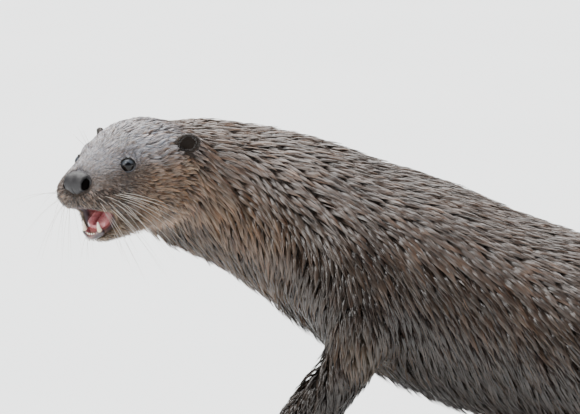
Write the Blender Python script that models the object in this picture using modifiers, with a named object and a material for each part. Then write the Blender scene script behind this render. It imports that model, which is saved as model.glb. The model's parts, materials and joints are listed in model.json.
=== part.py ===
"""A life-size river otter standing with its chest raised, its hindquarters low and its mouth open.

The animal faces -X with its left side towards -Y. Sizes below are millimetres and become metres when
a mesh is made. The flesh is fused from lofts along the spine, head, jaw and legs, and is then parted
with thin planar cuts. Eyes, ears, nose pad, tongue, canines and claws are seated in it afterwards.
"""

import math
from collections import namedtuple

import bmesh
import bpy
import numpy as np
from mathutils import Matrix, Vector

MM = 0.001
GAP = 0.3
FUSE_VOXEL = 2.4
FUSE_PASSES = 9
HEAD_TRIANGLES = 1580
BODY_TRIANGLES = 1580
RING_POINTS = 40
SPAN_STEPS = 5

# Head: its frame runs forward to the nose, left and up, from the point midway between the eyes.
HEAD_CENTRE = (39.5, -75.0, 264.0)
HEAD_YAW = 54.0
HEAD_PITCH = -8.0
JAW_HINGE = (-42.0, -28.0)
JAW_OPEN = 19.0
EYE_RADIUS = 6.8
EYE_AT = (0.4, 20.7, -4.2)
EAR_AT = (-50.0, 42.0, 2.5)
EAR_RADII = (9.8, 4.2, 9.0)
EAR_TURN = 52.0
NOSE_AT = (35.5, 0.0, -12.0)
NOSE_RADII = (8.8, 13.0, 9.3)
CANINE_SIDE = 7.0

# Body: each slice is a section across the spine, and its rise and drop are measured from its centre.
Slice = namedtuple("Slice", "x y z yaw pitch half_width rise drop")
SPINE = (
    Slice(78, -20, 245, 50, -2, 45, 43, 46),
    Slice(96, -9, 238, 36, 10, 50, 51.5, 50),
    Slice(122, -1, 228, 20, 17, 51, 58, 51),
    Slice(155, 2, 212, 6, 21, 56, 68, 54),
    Slice(200, 2, 191, 0, 21, 64, 77, 60),
    Slice(250, 2, 170, 0, 20, 71, 82, 71),
    Slice(310, 2, 147, 0, 20, 74, 81, 79),
    Slice(375, 2, 123, 0, 19, 76, 82, 76),
    Slice(440, 2, 104, 0, 15, 76, 80, 72),
    Slice(505, 3, 92, 0, 11, 73, 74, 66),
    Slice(565, 5, 84, 0, 9, 66, 66, 58),
    Slice(612, 8, 76, -3, 13, 54, 52, 47),
    Slice(652, 12, 62, -7, 19, 41, 38, 37),
    Slice(700, 18, 44, -9, 16, 32, 28, 29),
    Slice(762, 29, 29, -12, 10, 26, 22, 23),
    Slice(832, 45, 20, -16, 5, 21, 17, 18),
    Slice(902, 68, 14.5, -22, 3, 16, 13, 14.5),
    Slice(968, 97, 10.2, -27, 3, 11.5, 9.5, 11),
    Slice(1022, 127, 7.2, -30, 3, 7.6, 6.6, 8.2),
    Slice(1050, 143, 5.4, -31, 3, 4.4, 3.8, 6.0),
)
Plate = namedtuple("Plate", "forward half_width top bottom belt crest keel", defaults=(2.0, 2.0))
UPPER_HEAD = (
    Plate(42, 10, -16, -23, -20, 2.0, 2.0),
    Plate(39.5, 18, -11, -28, -19, 2.0, 2.4),
    Plate(36, 23, -5, -32, -19, 1.7, 3.0),
    Plate(31, 26, 0.5, -35, -19, 1.5, 3.6),
    Plate(22, 27.5, 5.5, -37.5, -19, 1.5, 4.0),
    Plate(11, 26.5, 10, -40.5, -19, 1.8, 4.0),
    Plate(0, 27.5, 13.5, -43, -19, 2.0, 3.6),
    Plate(-15, 34.5, 18.5, -48, -19, 2.2, 3.0),
    Plate(-34, 44, 21.8, -53, -19, 2.1, 2.4),
    Plate(-54, 46, 21.5, -56, -19, 2.0, 2.2),
    Plate(-74, 44, 18.5, -54, -18, 2.0, 2.0),
    Plate(-88, 38, 12, -46, -17, 2.0, 2.0),
)
LOWER_JAW = (
    Plate(31.5, 7, -32, -37, -34),
    Plate(28.5, 12.5, -31, -39.5, -35),
    Plate(20, 16.5, -31, -43, -36),
    Plate(6, 21, -31, -48, -38),
    Plate(-12, 27, -30, -53, -40),
    Plate(-32, 31, -28, -56, -42),
)
MOUTH = (
    Plate(50, 19, -31, -55, -43, 2.0, 2.6),
    Plate(30, 17, -32, -54.5, -43, 2.0, 2.6),
    Plate(22, 14.5, -33, -54, -43, 2.2, 2.6),
    Plate(15, 12.5, -33.5, -53, -43, 2.2, 2.4),
    Plate(2, 12.5, -34, -51, -42),
    Plate(-10, 11, -35.5, -48.5, -41.5),
    Plate(-20, 6, -38.5, -45, -41.5),
)
TONGUE = (
    Plate(21.5, 4, -47.5, -51.5, -50),
    Plate(18.5, 8.5, -44.5, -52, -49),
    Plate(9, 10, -39.5, -51, -46),
    Plate(-4, 9.8, -37.5, -48, -42.5),
    Plate(-15, 6.5, -38.5, -44.5, -41.5),
)

# Legs: each knot is a point of the bone's line with the flesh's half width across and along the body.
Knot = namedtuple("Knot", "x y z across along")
FORELEG = (
    Knot(206, 30, 205, 24, 34),
    Knot(214, 44, 178, 25, 37),
    Knot(232, 55, 142, 22, 32),
    Knot(240, 59, 112, 18.5, 25),
    Knot(226, 60, 84, 15.5, 20),
    Knot(209, 60, 56, 13, 16.5),
    Knot(196, 60, 34, 12, 14.5),
    Knot(190, 60, 18, 13.5, 15),
)
HINDLEG = (
    Knot(580, 34, 100, 24, 32),
    Knot(562, 48, 90, 28, 40),
    Knot(543, 60, 76, 25, 36),
    Knot(530, 69, 60, 20, 27),
    Knot(541, 75, 44, 16, 20),
    Knot(570, 77, 32, 13.5, 16),
    Knot(594, 78, 21, 12.5, 15),
    Knot(598, 78, 11, 12, 13),
)
Paw = namedtuple("Paw", "heel palm_half_width sole_length toe_length toe_radius splay")
FOREPAW = Paw(9.0, 18.0, 34.0, 25.0, 5.6, 13.0)
HINDPAW = Paw(16.0, 19.0, 76.0, 33.0, 6.0, 12.0)
# The left forefoot is set further forward and its leg leans with it, so each leg takes a step.
FORE_STEP = {-1: -36.0, 1: 6.0}
HIND_STEP = {-1: -6.0, 1: 12.0}
SIDE_NAMES = {-1: "left", 1: "right"}
TOES = 5
BELOW_ELBOW = 4
SOLE_SINK = 1.6


def axes_of(yaw, pitch):
    """The left, up and backward directions of a section that is turned by yaw and tipped by pitch."""
    yaw, pitch = math.radians(yaw), math.radians(pitch)
    back = np.array((math.cos(pitch) * math.cos(yaw), math.cos(pitch) * math.sin(yaw), -math.sin(pitch)))
    left = np.array((math.sin(yaw), -math.cos(yaw), 0.0))
    return left, np.cross(left, back), back


HEAD_LEFT, HEAD_UP, HEAD_BACK = axes_of(HEAD_YAW, HEAD_PITCH)


def in_head(forward, left, up):
    """A point of the head's own frame, in the body's."""
    return np.array(HEAD_CENTRE) - forward * HEAD_BACK + left * HEAD_LEFT + up * HEAD_UP


def jaw_dropped(forward, up):
    """A point of the closed jaw's middle plane after the jaw has turned open about its hinge."""
    turn = math.radians(JAW_OPEN)
    ahead, above = forward - JAW_HINGE[0], up - JAW_HINGE[1]
    return (
        JAW_HINGE[0] + ahead * math.cos(turn) + above * math.sin(turn),
        JAW_HINGE[1] + above * math.cos(turn) - ahead * math.sin(turn),
    )


def eased(rows, steps):
    """Rows of numbers with steps more between each two, on a Catmull-Rom curve through them all."""
    table = np.array(rows, float)
    table = np.vstack((2 * table[0] - table[1], table, 2 * table[-1] - table[-2]))
    found = []
    for i in range(1, len(table) - 2):
        a, b, c, d = table[i - 1 : i + 3]
        for t in np.arange(steps) / steps:
            found.append(
                b + 0.5 * t * (c - a + t * (2 * a - 5 * b + 4 * c - d + t * (3 * (b - c) + d - a)))
            )
    return np.array(found + [table[-2]])


def make_object(name, mesh_maker):
    """A new object whose mesh mesh_maker(bmesh) fills, in millimetres, and which faces outwards."""
    shape = bmesh.new()
    mesh_maker(shape)
    bmesh.ops.scale(shape, vec=Vector((MM, MM, MM)), verts=shape.verts)
    bmesh.ops.recalc_face_normals(shape, faces=shape.faces)
    mesh = bpy.data.meshes.new(name)
    shape.to_mesh(mesh)
    shape.free()
    made = bpy.data.objects.new(name, mesh)
    bpy.context.scene.collection.objects.link(made)
    return made


def loft(name, rings):
    """A closed skin over rings of points, each ring with as many points as the next."""

    def fill(shape):
        loops = [[shape.verts.new(point) for point in ring] for ring in rings]
        for near, far in zip(loops, loops[1:]):
            for i in range(len(near)):
                j = (i + 1) % len(near)
                shape.faces.new((near[i], near[j], far[j], far[i]))
        shape.faces.new(loops[0][::-1])
        shape.faces.new(loops[-1])

    return make_object(name, fill)


def spine_loft(name, slices):
    """The neck, trunk and tail as one tapering form."""
    rings = []
    for x, y, z, yaw, pitch, half_width, rise, drop in eased(slices, SPAN_STEPS):
        left, up, _ = axes_of(yaw, pitch)
        ring = []
        for angle in np.arange(RING_POINTS) / RING_POINTS * math.tau:
            height = rise if math.sin(angle) > 0 else drop
            ring.append(
                np.array((x, y, z)) + left * half_width * math.cos(angle) + up * height * math.sin(angle)
            )
        rings.append(ring)
    return loft(name, rings)


def plate_loft(name, plates, dropped=False, points=RING_POINTS, steps=SPAN_STEPS):
    """A form of the head. A plate is widest at its belt, and squarer the higher its crest and keel powers."""
    rings = []
    for forward, half_width, top, bottom, belt, crest, keel in eased(plates, steps):
        ring = []
        for angle in np.arange(points) / points * math.tau:
            over = math.sin(angle) > 0
            power = 2.0 / (crest if over else keel)
            out = math.copysign(abs(math.cos(angle)) ** power, math.cos(angle))
            height = (top - belt if over else bottom - belt) * abs(math.sin(angle)) ** power
            ahead, up = forward, belt + height
            if dropped:
                ahead, up = jaw_dropped(ahead, up)
            ring.append(in_head(ahead, half_width * out, up))
        rings.append(ring)
    return loft(name, rings)


def tube(name, knots, points=RING_POINTS, steps=SPAN_STEPS):
    """A tapering tube through knots, each with a radius across the body and one along it."""
    table = eased(knots, steps)
    rings = []
    for i, knot in enumerate(table):
        run = table[min(i + 1, len(table) - 1)][:3] - table[max(i - 1, 0)][:3]
        run = run / np.linalg.norm(run)
        across = np.array((0.0, 1.0, 0.0)) - run[1] * run
        across = across / np.linalg.norm(across)
        along = np.cross(run, across)
        rings.append(
            [
                knot[:3] + across * knot[3] * math.cos(a) + along * knot[4] * math.sin(a)
                for a in np.arange(points) / points * math.tau
            ]
        )
    return loft(name, rings)


def blob(name, centre, radii, turn=Matrix.Identity(3), rings=16):
    """An ellipsoid with its radii along the columns of turn."""

    def fill(shape):
        bmesh.ops.create_uvsphere(shape, u_segments=rings * 3 // 2, v_segments=rings, radius=1.0)
        scale = Matrix.Diagonal(Vector(radii))
        place = (turn @ scale).to_4x4()
        place.translation = Vector(centre)
        bmesh.ops.transform(shape, matrix=place, verts=shape.verts)

    return make_object(name, fill)


def head_turn(side):
    """Columns forward, left (or right for side 1) and up of the head, as a rotation."""
    left = HEAD_LEFT if side < 0 else -HEAD_LEFT
    return Matrix((Vector(-HEAD_BACK), Vector(left), Vector(HEAD_UP))).transposed()


def evaluated_mesh(thing):
    """The object's mesh with its modifiers applied."""
    bpy.context.view_layer.update()
    graph = bpy.context.evaluated_depsgraph_get()
    mesh = bpy.data.meshes.new_from_object(thing.evaluated_get(graph))
    thing.modifiers.clear()
    thing.data = mesh
    return thing


def remove(*things):
    for thing in things:
        bpy.data.objects.remove(thing)


def cut(thing, tool, operation="DIFFERENCE"):
    """The thing with a Boolean applied. The tool stays."""
    step = thing.modifiers.new(operation.title(), "BOOLEAN")
    step.operation = operation
    step.object = tool
    return evaluated_mesh(thing)


def grown(thing, by=GAP):
    """A copy that stands out by a clearance, to cut its neighbour with."""
    copy = bpy.data.objects.new(thing.name + "_room", thing.data.copy())
    bpy.context.scene.collection.objects.link(copy)
    shape = bmesh.new()
    shape.from_mesh(copy.data)
    shape.normal_update()
    shifts = [vert.normal * by * MM for vert in shape.verts]
    for vert, shift in zip(shape.verts, shifts):
        vert.co += shift
    shape.to_mesh(copy.data)
    shape.free()
    return copy


def seat(piece, host):
    """Makes room in the host for the piece."""
    room = grown(piece)
    cut(host, room)
    remove(room)


def fused(name, forms):
    """One smooth closed form from overlapping ones."""
    for form in forms[1:]:
        form.data.transform(form.matrix_world)
    joined = bmesh.new()
    for form in forms:
        joined.from_mesh(form.data)
    mesh = bpy.data.meshes.new(name)
    joined.to_mesh(mesh)
    joined.free()
    remove(*forms)
    thing = bpy.data.objects.new(name, mesh)
    bpy.context.scene.collection.objects.link(thing)
    fuse = thing.modifiers.new("Fuse", "REMESH")
    fuse.mode = "VOXEL"
    fuse.voxel_size = FUSE_VOXEL * MM
    soften = thing.modifiers.new("Soften", "SMOOTH")
    soften.factor = 0.5
    soften.iterations = FUSE_PASSES
    return evaluated_mesh(thing)


def thinned(thing, triangles):
    """The mesh with only so many triangles, which stay smallest where it bends most."""
    shape = bmesh.new()
    shape.from_mesh(thing.data)
    bmesh.ops.triangulate(shape, faces=shape.faces)
    shape.to_mesh(thing.data)
    count = len(shape.faces)
    shape.free()
    thin = thing.modifiers.new("Thin", "DECIMATE")
    thin.ratio = triangles / count
    thin.use_collapse_triangulate = True
    return evaluated_mesh(thing)


def box(name, centre, half, yaw=0.0, pitch=0.0):
    """A box to cut with, its sides along the left, up and backward directions of a section."""
    left, up, back = axes_of(yaw, pitch)
    turn = Matrix((Vector(back), Vector(left), Vector(up))).transposed().to_4x4()

    def fill(shape):
        bmesh.ops.create_cube(shape, size=2.0)
        place = turn @ Matrix.Diagonal(Vector((*half, 1.0)))
        place.translation = Vector(centre)
        bmesh.ops.transform(shape, matrix=place, verts=shape.verts)

    return make_object(name, fill)


def side_of(name, point, yaw, pitch, ahead, reach=320.0):
    """A box to cut with that fills one side of the section through a point, ahead of it or behind."""
    _, _, back = axes_of(yaw, pitch)
    centre = np.array(point) + back * (-reach if ahead else reach)
    return box(name, centre, (reach, reach, reach), yaw, pitch)


def along_limb(name, upper, lower, half_along, half_across, over):
    """A box to cut with, from one knot of a limb down to another and on past it."""
    top, end = np.array(upper[:3]), np.array(lower[:3])
    run = (end - top) / np.linalg.norm(end - top)
    end = end + run * over
    pitch = math.degrees(math.atan2(-run[0], -run[2]))
    half = (half_along, half_across, np.linalg.norm(end - top) / 2)
    return box(name, (top + end) / 2, half, 0.0, pitch)


def oval(name, centre, along, tall, depth, pitch=0.0, points=20):
    """An oval prism that lies across the body, to cut a limb's root out of the flesh with."""
    _, up, back = axes_of(0.0, pitch)
    ends = []
    for reach in (-depth, depth):
        middle = np.array(centre) + np.array((0.0, reach, 0.0))
        angles = np.arange(points) / points * math.tau
        ends.append([middle + back * along * math.cos(a) + up * tall * math.sin(a) for a in angles])
    return loft(name, ends)


def parted(flesh, name, region):
    """A new piece: what of the flesh lies in the region. The flesh loses it, and a thin gap with it."""
    piece = bpy.data.objects.new(name, flesh.data.copy())
    bpy.context.scene.collection.objects.link(piece)
    cut(piece, region, "INTERSECT")
    seat(region, flesh)
    remove(region)
    return piece


def leg_knots(knots, side, step, level=85.0):
    """A leg's knots on its own side. Below the level it leans forward by its step."""
    moved = []
    for knot in knots:
        share = min(1.0, max(0.0, (level * 1.6 - knot.z) / (level * 1.6 - 15.0)))
        moved.append(knot._replace(x=knot.x + step * share, y=knot.y * side))
    return moved


def toe_line(paw, ankle, side, number):
    """The knots of a toe from inside the palm to its tip, and the tip's heading."""
    spread = (number - (TOES - 1) / 2) / ((TOES - 1) / 2)
    turn = math.radians(paw.splay * spread)
    ahead = np.array((-math.cos(turn), side * math.sin(turn), 0.0))
    reach = paw.toe_length * (1.0 - 0.16 * spread * spread)
    root = np.array((ankle[0] - paw.sole_length + 9.0, ankle[1] + side * spread * paw.palm_half_width * 0.72, 0.0))
    radius = paw.toe_radius
    heights = (radius + 4.0, radius + 3.2, radius - 1.2)
    knots = []
    for share, height in zip((0.0, 0.5, 1.0), heights):
        place = root + ahead * reach * share
        knots.append(Knot(place[0], place[1], height, radius * (1.0 - 0.14 * share), radius * (1.0 - 0.2 * share)))
    return knots, ahead


def paw_forms(name, paw, ankle, side):
    """The sole and toes of one paw, flat underneath once the floor has cut them."""
    middle = ankle[0] - paw.sole_length * 0.5 + paw.heel * 0.4
    sole = (
        Knot(ankle[0] + paw.heel, ankle[1], 9.0, 7.0, 6.5),
        Knot(ankle[0], ankle[1], 11.0, paw.palm_half_width * 0.66, 12.5),
        Knot(middle, ankle[1], 10.0, paw.palm_half_width * 0.84, 11.5),
        Knot(ankle[0] - paw.sole_length, ankle[1], 8.0, paw.palm_half_width, 8.6),
        Knot(ankle[0] - paw.sole_length - 9.0, ankle[1], 6.5, paw.palm_half_width * 0.92, 5.0),
    )
    forms = [tube(name + "_sole", sole)]
    for number in range(TOES):
        knots, ahead = toe_line(paw, ankle, side, number)
        forms.append(tube(f"{name}_toe_{number + 1}", knots, points=16))
        tip = knots[-1]
        end = np.array(tip[:3]) + ahead * 1.0
        forms.append(blob(f"{name}_tip_{number + 1}", end, (tip.across, tip.across, tip.along), rings=8))
    return forms


def claws(name, paw, ankle, side):
    """The five claws of a paw, each a short curved cone out of its toe's tip."""
    made = []
    for number in range(TOES):
        knots, ahead = toe_line(paw, ankle, side, number)
        tip = np.array(knots[-1][:3]) + ahead * (paw.toe_radius - 3.0)
        line = []
        for out, height, radius in ((0.0, 1.6, 1.9), (4.2, 1.5, 1.5), (8.4, -1.7, 0.4)):
            place = tip + ahead * out
            line.append(Knot(place[0], place[1], place[2] + height, radius, radius))
        made.append(tube(f"{name}_{number + 1}", line, points=5, steps=1))
    return made


def flesh_forms():
    """Every overlapping form of the flesh, with the mouth cut out of the head and the jaw."""
    spine = spine_loft("spine_form", SPINE)
    upper = plate_loft("upper_form", UPPER_HEAD)
    jaw = plate_loft("jaw_form", LOWER_JAW, dropped=True)
    webs = [blob(f"web_{side}", in_head(2.5, -side * 16.8, -45.5), (14, 5.8, 13), head_turn(side)) for side in (-1, 1)]
    mouth = plate_loft("mouth_form", MOUTH)
    for form in [upper, jaw] + webs:
        cut(form, mouth)
    remove(mouth)
    forms = [spine, upper, jaw] + webs
    for side in (-1, 1):
        word = SIDE_NAMES[side]
        turn = head_turn(side)
        forms.append(blob(f"brow_{word}", in_head(-4, -side * 13.5, 6.5), (13, 8, 6), turn))
        forms.append(blob(f"cheek_{word}", in_head(-36, -side * 30, -34), (26, 16, 22), turn))
        forms.append(blob(f"pad_{word}", in_head(26, -side * 13.5, -22), (12.5, 14, 12.5), turn))
        foreleg = leg_knots(FORELEG, side, FORE_STEP[side])
        hindleg = leg_knots(HINDLEG, side, HIND_STEP[side])
        forms.append(tube(f"foreleg_{word}", foreleg))
        forms.append(tube(f"hindleg_{word}", hindleg))
        forms += paw_forms(f"forepaw_{word}", FOREPAW, foreleg[-1], side)
        forms += paw_forms(f"hindpaw_{word}", HINDPAW, hindleg[-1], side)
        forms.append(blob(f"shoulder_{word}", (226, side * 42, 168), (42, 31, 50)))
        forms.append(blob(f"haunch_{word}", (572, side * 36, 90), (50, 34, 44)))
    return forms


def part_the_head(flesh):
    """Cuts the head off the dense flesh at the back of the skull and the angle of the jaw."""
    face = side_of("region", in_head(-64, 0, -20), HEAD_YAW, HEAD_PITCH + 20, ahead=True)
    return parted(flesh, "head", face)


def part_the_jaw(head):
    """Cuts the lower jaw off the head along the line of the mouth."""
    wedge = box("region", in_head(18, 0, -61.5), (36, 40, 17), HEAD_YAW, HEAD_PITCH + JAW_OPEN * 0.75)
    return parted(head, "lower_jaw", wedge)


def part_the_body(flesh):
    """Cuts the body's flesh into its named pieces and returns them. What is left last is the chest."""
    pieces = []

    def take(name, region):
        pieces.append(parted(flesh, name, region))
        return pieces[-1]

    take("tail_tip", side_of("region", (850, 52, 20), -18, 0, ahead=False))
    take("tail_base", side_of("region", (650, 12, 62), -6, 16, ahead=False))
    for side in (-1, 1):
        word = SIDE_NAMES[side]
        fore = leg_knots(FORELEG, side, FORE_STEP[side])
        hind = leg_knots(HINDLEG, side, HIND_STEP[side])
        wrist, heel = fore[-1], hind[-1]
        take(f"forepaw_{word}", box("region", (wrist.x - 30, wrist.y, 5), (55, 42, 20)))
        take(f"forearm_{word}", along_limb("region", fore[BELOW_ELBOW], wrist, 48, 27, 30))
        take(f"shoulder_{word}", oval("region", (226, side * 80, 146), 53, 84, 49))
        take(f"hindpaw_{word}", box("region", (heel.x - 60, heel.y + side * 17, 2), (100, 42, 20)))
        take(f"shank_{word}", box("region", (heel.x - 20, side * 100, 28), (90, 42, 26)))
        take(f"thigh_{word}", oval("region", (560, side * 96, 72), 66, 66, 50, 25))
    take("neck", side_of("region", (172, 0, 190), 5, 22, ahead=True))
    take("hips", side_of("region", (470, 0, 100), 0, 12, ahead=False))
    take("loin", side_of("region", (335, 0, 140), 0, 20, ahead=False))
    flesh.name = "chest"
    return pieces + [flesh]


def eyes():
    made = []
    for side in (-1, 1):
        forward, out, up = EYE_AT
        place = in_head(forward, -side * out, up)
        made.append(blob(f"eye_{SIDE_NAMES[side]}", place, (EYE_RADIUS,) * 3, head_turn(side), rings=8))
    return made


def ear_frame(side):
    """An ear's centre, the direction its cup faces and a rotation with its thin radius that way."""
    forward, out, up = EAR_AT
    face = head_turn(side) @ Matrix.Rotation(math.radians(EAR_TURN), 3, "Z")
    turn = face @ Matrix.Rotation(math.radians(90), 3, "Z")
    return Vector(in_head(forward, -side * out, up)), face @ Vector((1.0, 0.0, 0.0)), turn


def ears():
    """Two small round ears, still solid so that the head makes room for all of each."""
    made = []
    for side in (-1, 1):
        place, _, turn = ear_frame(side)
        made.append(blob(f"ear_{SIDE_NAMES[side]}", place, EAR_RADII, turn, rings=8))
    return made


def hollow_ears(pair):
    """Makes each ear a cup that is open forwards and outwards."""
    for side, cup in zip((-1, 1), pair):
        place, toward, turn = ear_frame(side)
        hollow = blob("hollow", place + toward * (EAR_RADII[1] * 0.95), [r * 0.78 for r in EAR_RADII], turn, rings=6)
        cut(cup, hollow)
        remove(hollow)


def nose_pad():
    return blob("nose_pad", in_head(*NOSE_AT), NOSE_RADII, head_turn(-1), rings=9)


def tongue():
    return plate_loft("tongue", TONGUE, points=14, steps=1)


def canines():
    """The two lower canines, standing out of the dropped jaw."""
    made = []
    for side in (-1, 1):
        line = []
        for forward, up, radius in ((27.5, -34.0, 2.3), (27.6, -30.0, 2.4), (28.0, -26.0, 1.6), (27.0, -21.5, 0.45)):
            ahead, height = jaw_dropped(forward, up)
            place = in_head(ahead, -side * CANINE_SIDE, height)
            line.append(Knot(*place, radius, radius))
        made.append(tube(f"canine_{SIDE_NAMES[side]}", line, points=10, steps=1))
    return made


def dress(thing, name, colour, roughness):
    """Gives a piece its material, which others of the same name share."""
    material = bpy.data.materials.get(name)
    if material is None:
        material = bpy.data.materials.new(name)
        material.use_nodes = True
        shader = material.node_tree.nodes["Principled BSDF"]
        shader.inputs["Base Color"].default_value = (*colour, 1.0)
        shader.inputs["Roughness"].default_value = roughness
    thing.data.materials.clear()
    thing.data.materials.append(material)


def shade(thing):
    thing.data.shade_smooth()
    thing.data.set_sharp_from_angle(angle=math.radians(50))


def set_down(things):
    """Moves the pieces so that the middle of the animal's box is over the origin and its feet are on z 0."""
    corners = np.array([vert.co for thing in things for vert in thing.data.vertices])
    low, high = corners.min(axis=0), corners.max(axis=0)
    shift = Matrix.Translation(Vector((-(low[0] + high[0]) / 2, -(low[1] + high[1]) / 2, -low[2])))
    for thing in things:
        thing.data.transform(shift)


def main():
    for thing in list(bpy.data.objects):
        bpy.data.objects.remove(thing)
    flesh = fused("flesh", flesh_forms())
    head = part_the_head(flesh)
    thinned(head, HEAD_TRIANGLES)
    thinned(flesh, BODY_TRIANGLES)
    below = box("below", (500, 0, SOLE_SINK - 50), (700, 300, 50))
    cut(flesh, below)
    remove(below)

    eye_pair, ear_pair, canine_pair = eyes(), ears(), canines()
    pad, tongue_form = nose_pad(), tongue()
    set_in_head = eye_pair + ear_pair + canine_pair + [pad, tongue_form]
    for piece in set_in_head:
        seat(piece, head)
    hollow_ears(ear_pair)
    claw_sets = []
    for side in (-1, 1):
        word = SIDE_NAMES[side]
        fore = leg_knots(FORELEG, side, FORE_STEP[side])
        hind = leg_knots(HINDLEG, side, HIND_STEP[side])
        claw_sets += claws(f"claw_fore_{word}", FOREPAW, fore[-1], side)
        claw_sets += claws(f"claw_hind_{word}", HINDPAW, hind[-1], side)
    for claw in claw_sets:
        seat(claw, flesh)

    flesh_pieces = [part_the_jaw(head), head] + part_the_body(flesh)
    for piece in flesh_pieces:
        dress(piece, "coat", (0.16, 0.115, 0.085), 0.55)
    for piece in ear_pair:
        dress(piece, "ear_skin", (0.05, 0.038, 0.033), 0.6)
    for piece in eye_pair:
        dress(piece, "eye", (0.012, 0.010, 0.010), 0.05)
    dress(pad, "nose_leather", (0.07, 0.068, 0.072), 0.4)
    dress(tongue_form, "tongue", (0.62, 0.24, 0.25), 0.35)
    for piece in canine_pair:
        dress(piece, "tooth", (0.80, 0.74, 0.60), 0.3)
    for piece in claw_sets:
        dress(piece, "claw", (0.10, 0.08, 0.07), 0.4)

    everything = flesh_pieces + set_in_head + claw_sets
    set_down(everything)
    home = bpy.data.collections.new("river_otter")
    bpy.context.scene.collection.children.link(home)
    for piece in everything:
        shade(piece)
        home.objects.link(piece)
        bpy.context.scene.collection.objects.unlink(piece)


main()
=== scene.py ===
"""The river otter's skin, coat, face, mouth, ears and claws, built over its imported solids.

Shapes are worked out in millimetres in the body's design frame: X runs back along the spine, the left
side is towards -Y and Z is up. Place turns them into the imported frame's metres.
"""

import json
import logging
import math
from dataclasses import astuple, dataclass
from enum import Enum, IntEnum

import bmesh
import bpy
import numpy as np
from mathutils import Matrix, Vector
from mathutils.bvhtree import BVHTree

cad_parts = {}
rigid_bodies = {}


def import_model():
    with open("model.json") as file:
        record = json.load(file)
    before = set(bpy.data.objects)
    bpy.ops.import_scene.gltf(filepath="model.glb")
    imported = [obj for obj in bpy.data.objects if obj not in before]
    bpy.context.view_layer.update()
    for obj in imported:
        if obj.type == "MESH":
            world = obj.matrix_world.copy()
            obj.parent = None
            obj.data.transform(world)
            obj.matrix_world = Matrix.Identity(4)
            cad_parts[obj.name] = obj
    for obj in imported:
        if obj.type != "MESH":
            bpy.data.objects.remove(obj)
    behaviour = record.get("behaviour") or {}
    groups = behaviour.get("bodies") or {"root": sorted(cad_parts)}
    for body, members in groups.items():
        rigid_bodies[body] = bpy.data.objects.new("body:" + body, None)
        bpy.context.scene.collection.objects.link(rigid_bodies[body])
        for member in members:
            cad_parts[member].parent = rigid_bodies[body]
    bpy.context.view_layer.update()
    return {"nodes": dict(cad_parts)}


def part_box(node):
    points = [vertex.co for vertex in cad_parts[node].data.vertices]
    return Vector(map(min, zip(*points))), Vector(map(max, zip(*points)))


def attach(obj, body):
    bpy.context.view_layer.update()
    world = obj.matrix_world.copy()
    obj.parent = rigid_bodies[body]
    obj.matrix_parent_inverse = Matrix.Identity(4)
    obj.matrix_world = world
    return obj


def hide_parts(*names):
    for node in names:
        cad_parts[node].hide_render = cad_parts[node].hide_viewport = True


MM = 0.001
FIRST_SEED = 40
LOG = logging.getLogger("otter")
Array = np.ndarray
Triple = tuple[float, float, float]
Object = bpy.types.Object
BMesh = bmesh.types.BMesh


class Side(Enum):
    """The two sides of the animal, with the sign that each has along Y."""

    LEFT = -1
    RIGHT = 1

    @property
    def word(self) -> str:
        """The side's name as it stands in node names."""
        return self.name.lower()


class Limb(Enum):
    """The two pairs of legs, by the word for them in node names."""

    FORE = "fore"
    HIND = "hind"


class Kind(IntEnum):
    """The coat's pieces, by the part of the body that they grow on."""

    FACE = 0
    NECK = 1
    LEFT_TRUNK = 2
    RIGHT_TRUNK = 3
    LEFT_LEGS = 4
    RIGHT_LEGS = 5
    TAIL = 6


def ramp(value: Array, low: float, high: float) -> Array:
    """A smooth rise from 0 where value is low to 1 where it is high.

    Args:
        value: Any numbers.
        low: Where the rise starts.
        high: Where it ends, which may be below low for a fall.

    Returns:
        Numbers from 0 to 1.
    """
    share = np.clip((np.asarray(value, float) - low) / (high - low), 0.0, 1.0)
    return share * share * (3.0 - 2.0 * share)


def hump(value: Array, middle: float, width: float) -> Array:
    """A bell curve with its top at middle, falling to about a third at width from it."""
    return np.exp(-(((np.asarray(value, float) - middle) / width) ** 2))


def unit(vectors: Array) -> Array:
    """The vectors, each scaled to length one."""
    return vectors / np.maximum(np.linalg.norm(vectors, axis=-1, keepdims=True), 1e-9)


def lengths(vectors: Array) -> Array:
    """The length of each vector."""
    return np.linalg.norm(vectors, axis=1)


def level(vectors: Array, normals: Array) -> Array:
    """The part of each vector that is square to its normal."""
    return vectors - (vectors * normals).sum(1, keepdims=True) * normals


def blend(base: Array, other: Array, share: Array) -> Array:
    """The rows of base where share is 0, those of other where it is 1, and a mix between."""
    return np.asarray(base) * (1 - share[:, None]) + np.asarray(other) * share[:, None]


def mirrored(local: Array) -> Array:
    """Head-frame points, with those of the right side laid on the left."""
    return np.column_stack((local[:, 0], np.abs(local[:, 1]), local[:, 2]))


def relax(values: Array, edges: Array, passes: int, pull: Array | float = 0.5) -> Array:
    """Values at points, eased towards the mean of each point's neighbours.

    Args:
        values: One row for each point.
        edges: Pairs of point numbers.
        passes: How often the easing is repeated.
        pull: How far each pass goes, for all points or for each.

    Returns:
        The eased values.
    """
    values = np.array(values, float)
    flat = values.ndim == 1
    if flat:
        values = values[:, None]
    size = len(values)
    near, far = edges[:, 0], edges[:, 1]
    count = np.maximum(np.bincount(near, minlength=size) + np.bincount(far, minlength=size), 1)[:, None]
    pull = np.broadcast_to(np.asarray(pull, float), (size,))[:, None]
    for _ in range(passes):
        total = np.empty_like(values)
        for column in range(values.shape[1]):
            total[:, column] = np.bincount(near, values[far, column], size)
            total[:, column] += np.bincount(far, values[near, column], size)
        values = values + (total / count - values) * pull
    return values[:, 0] if flat else values


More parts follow.
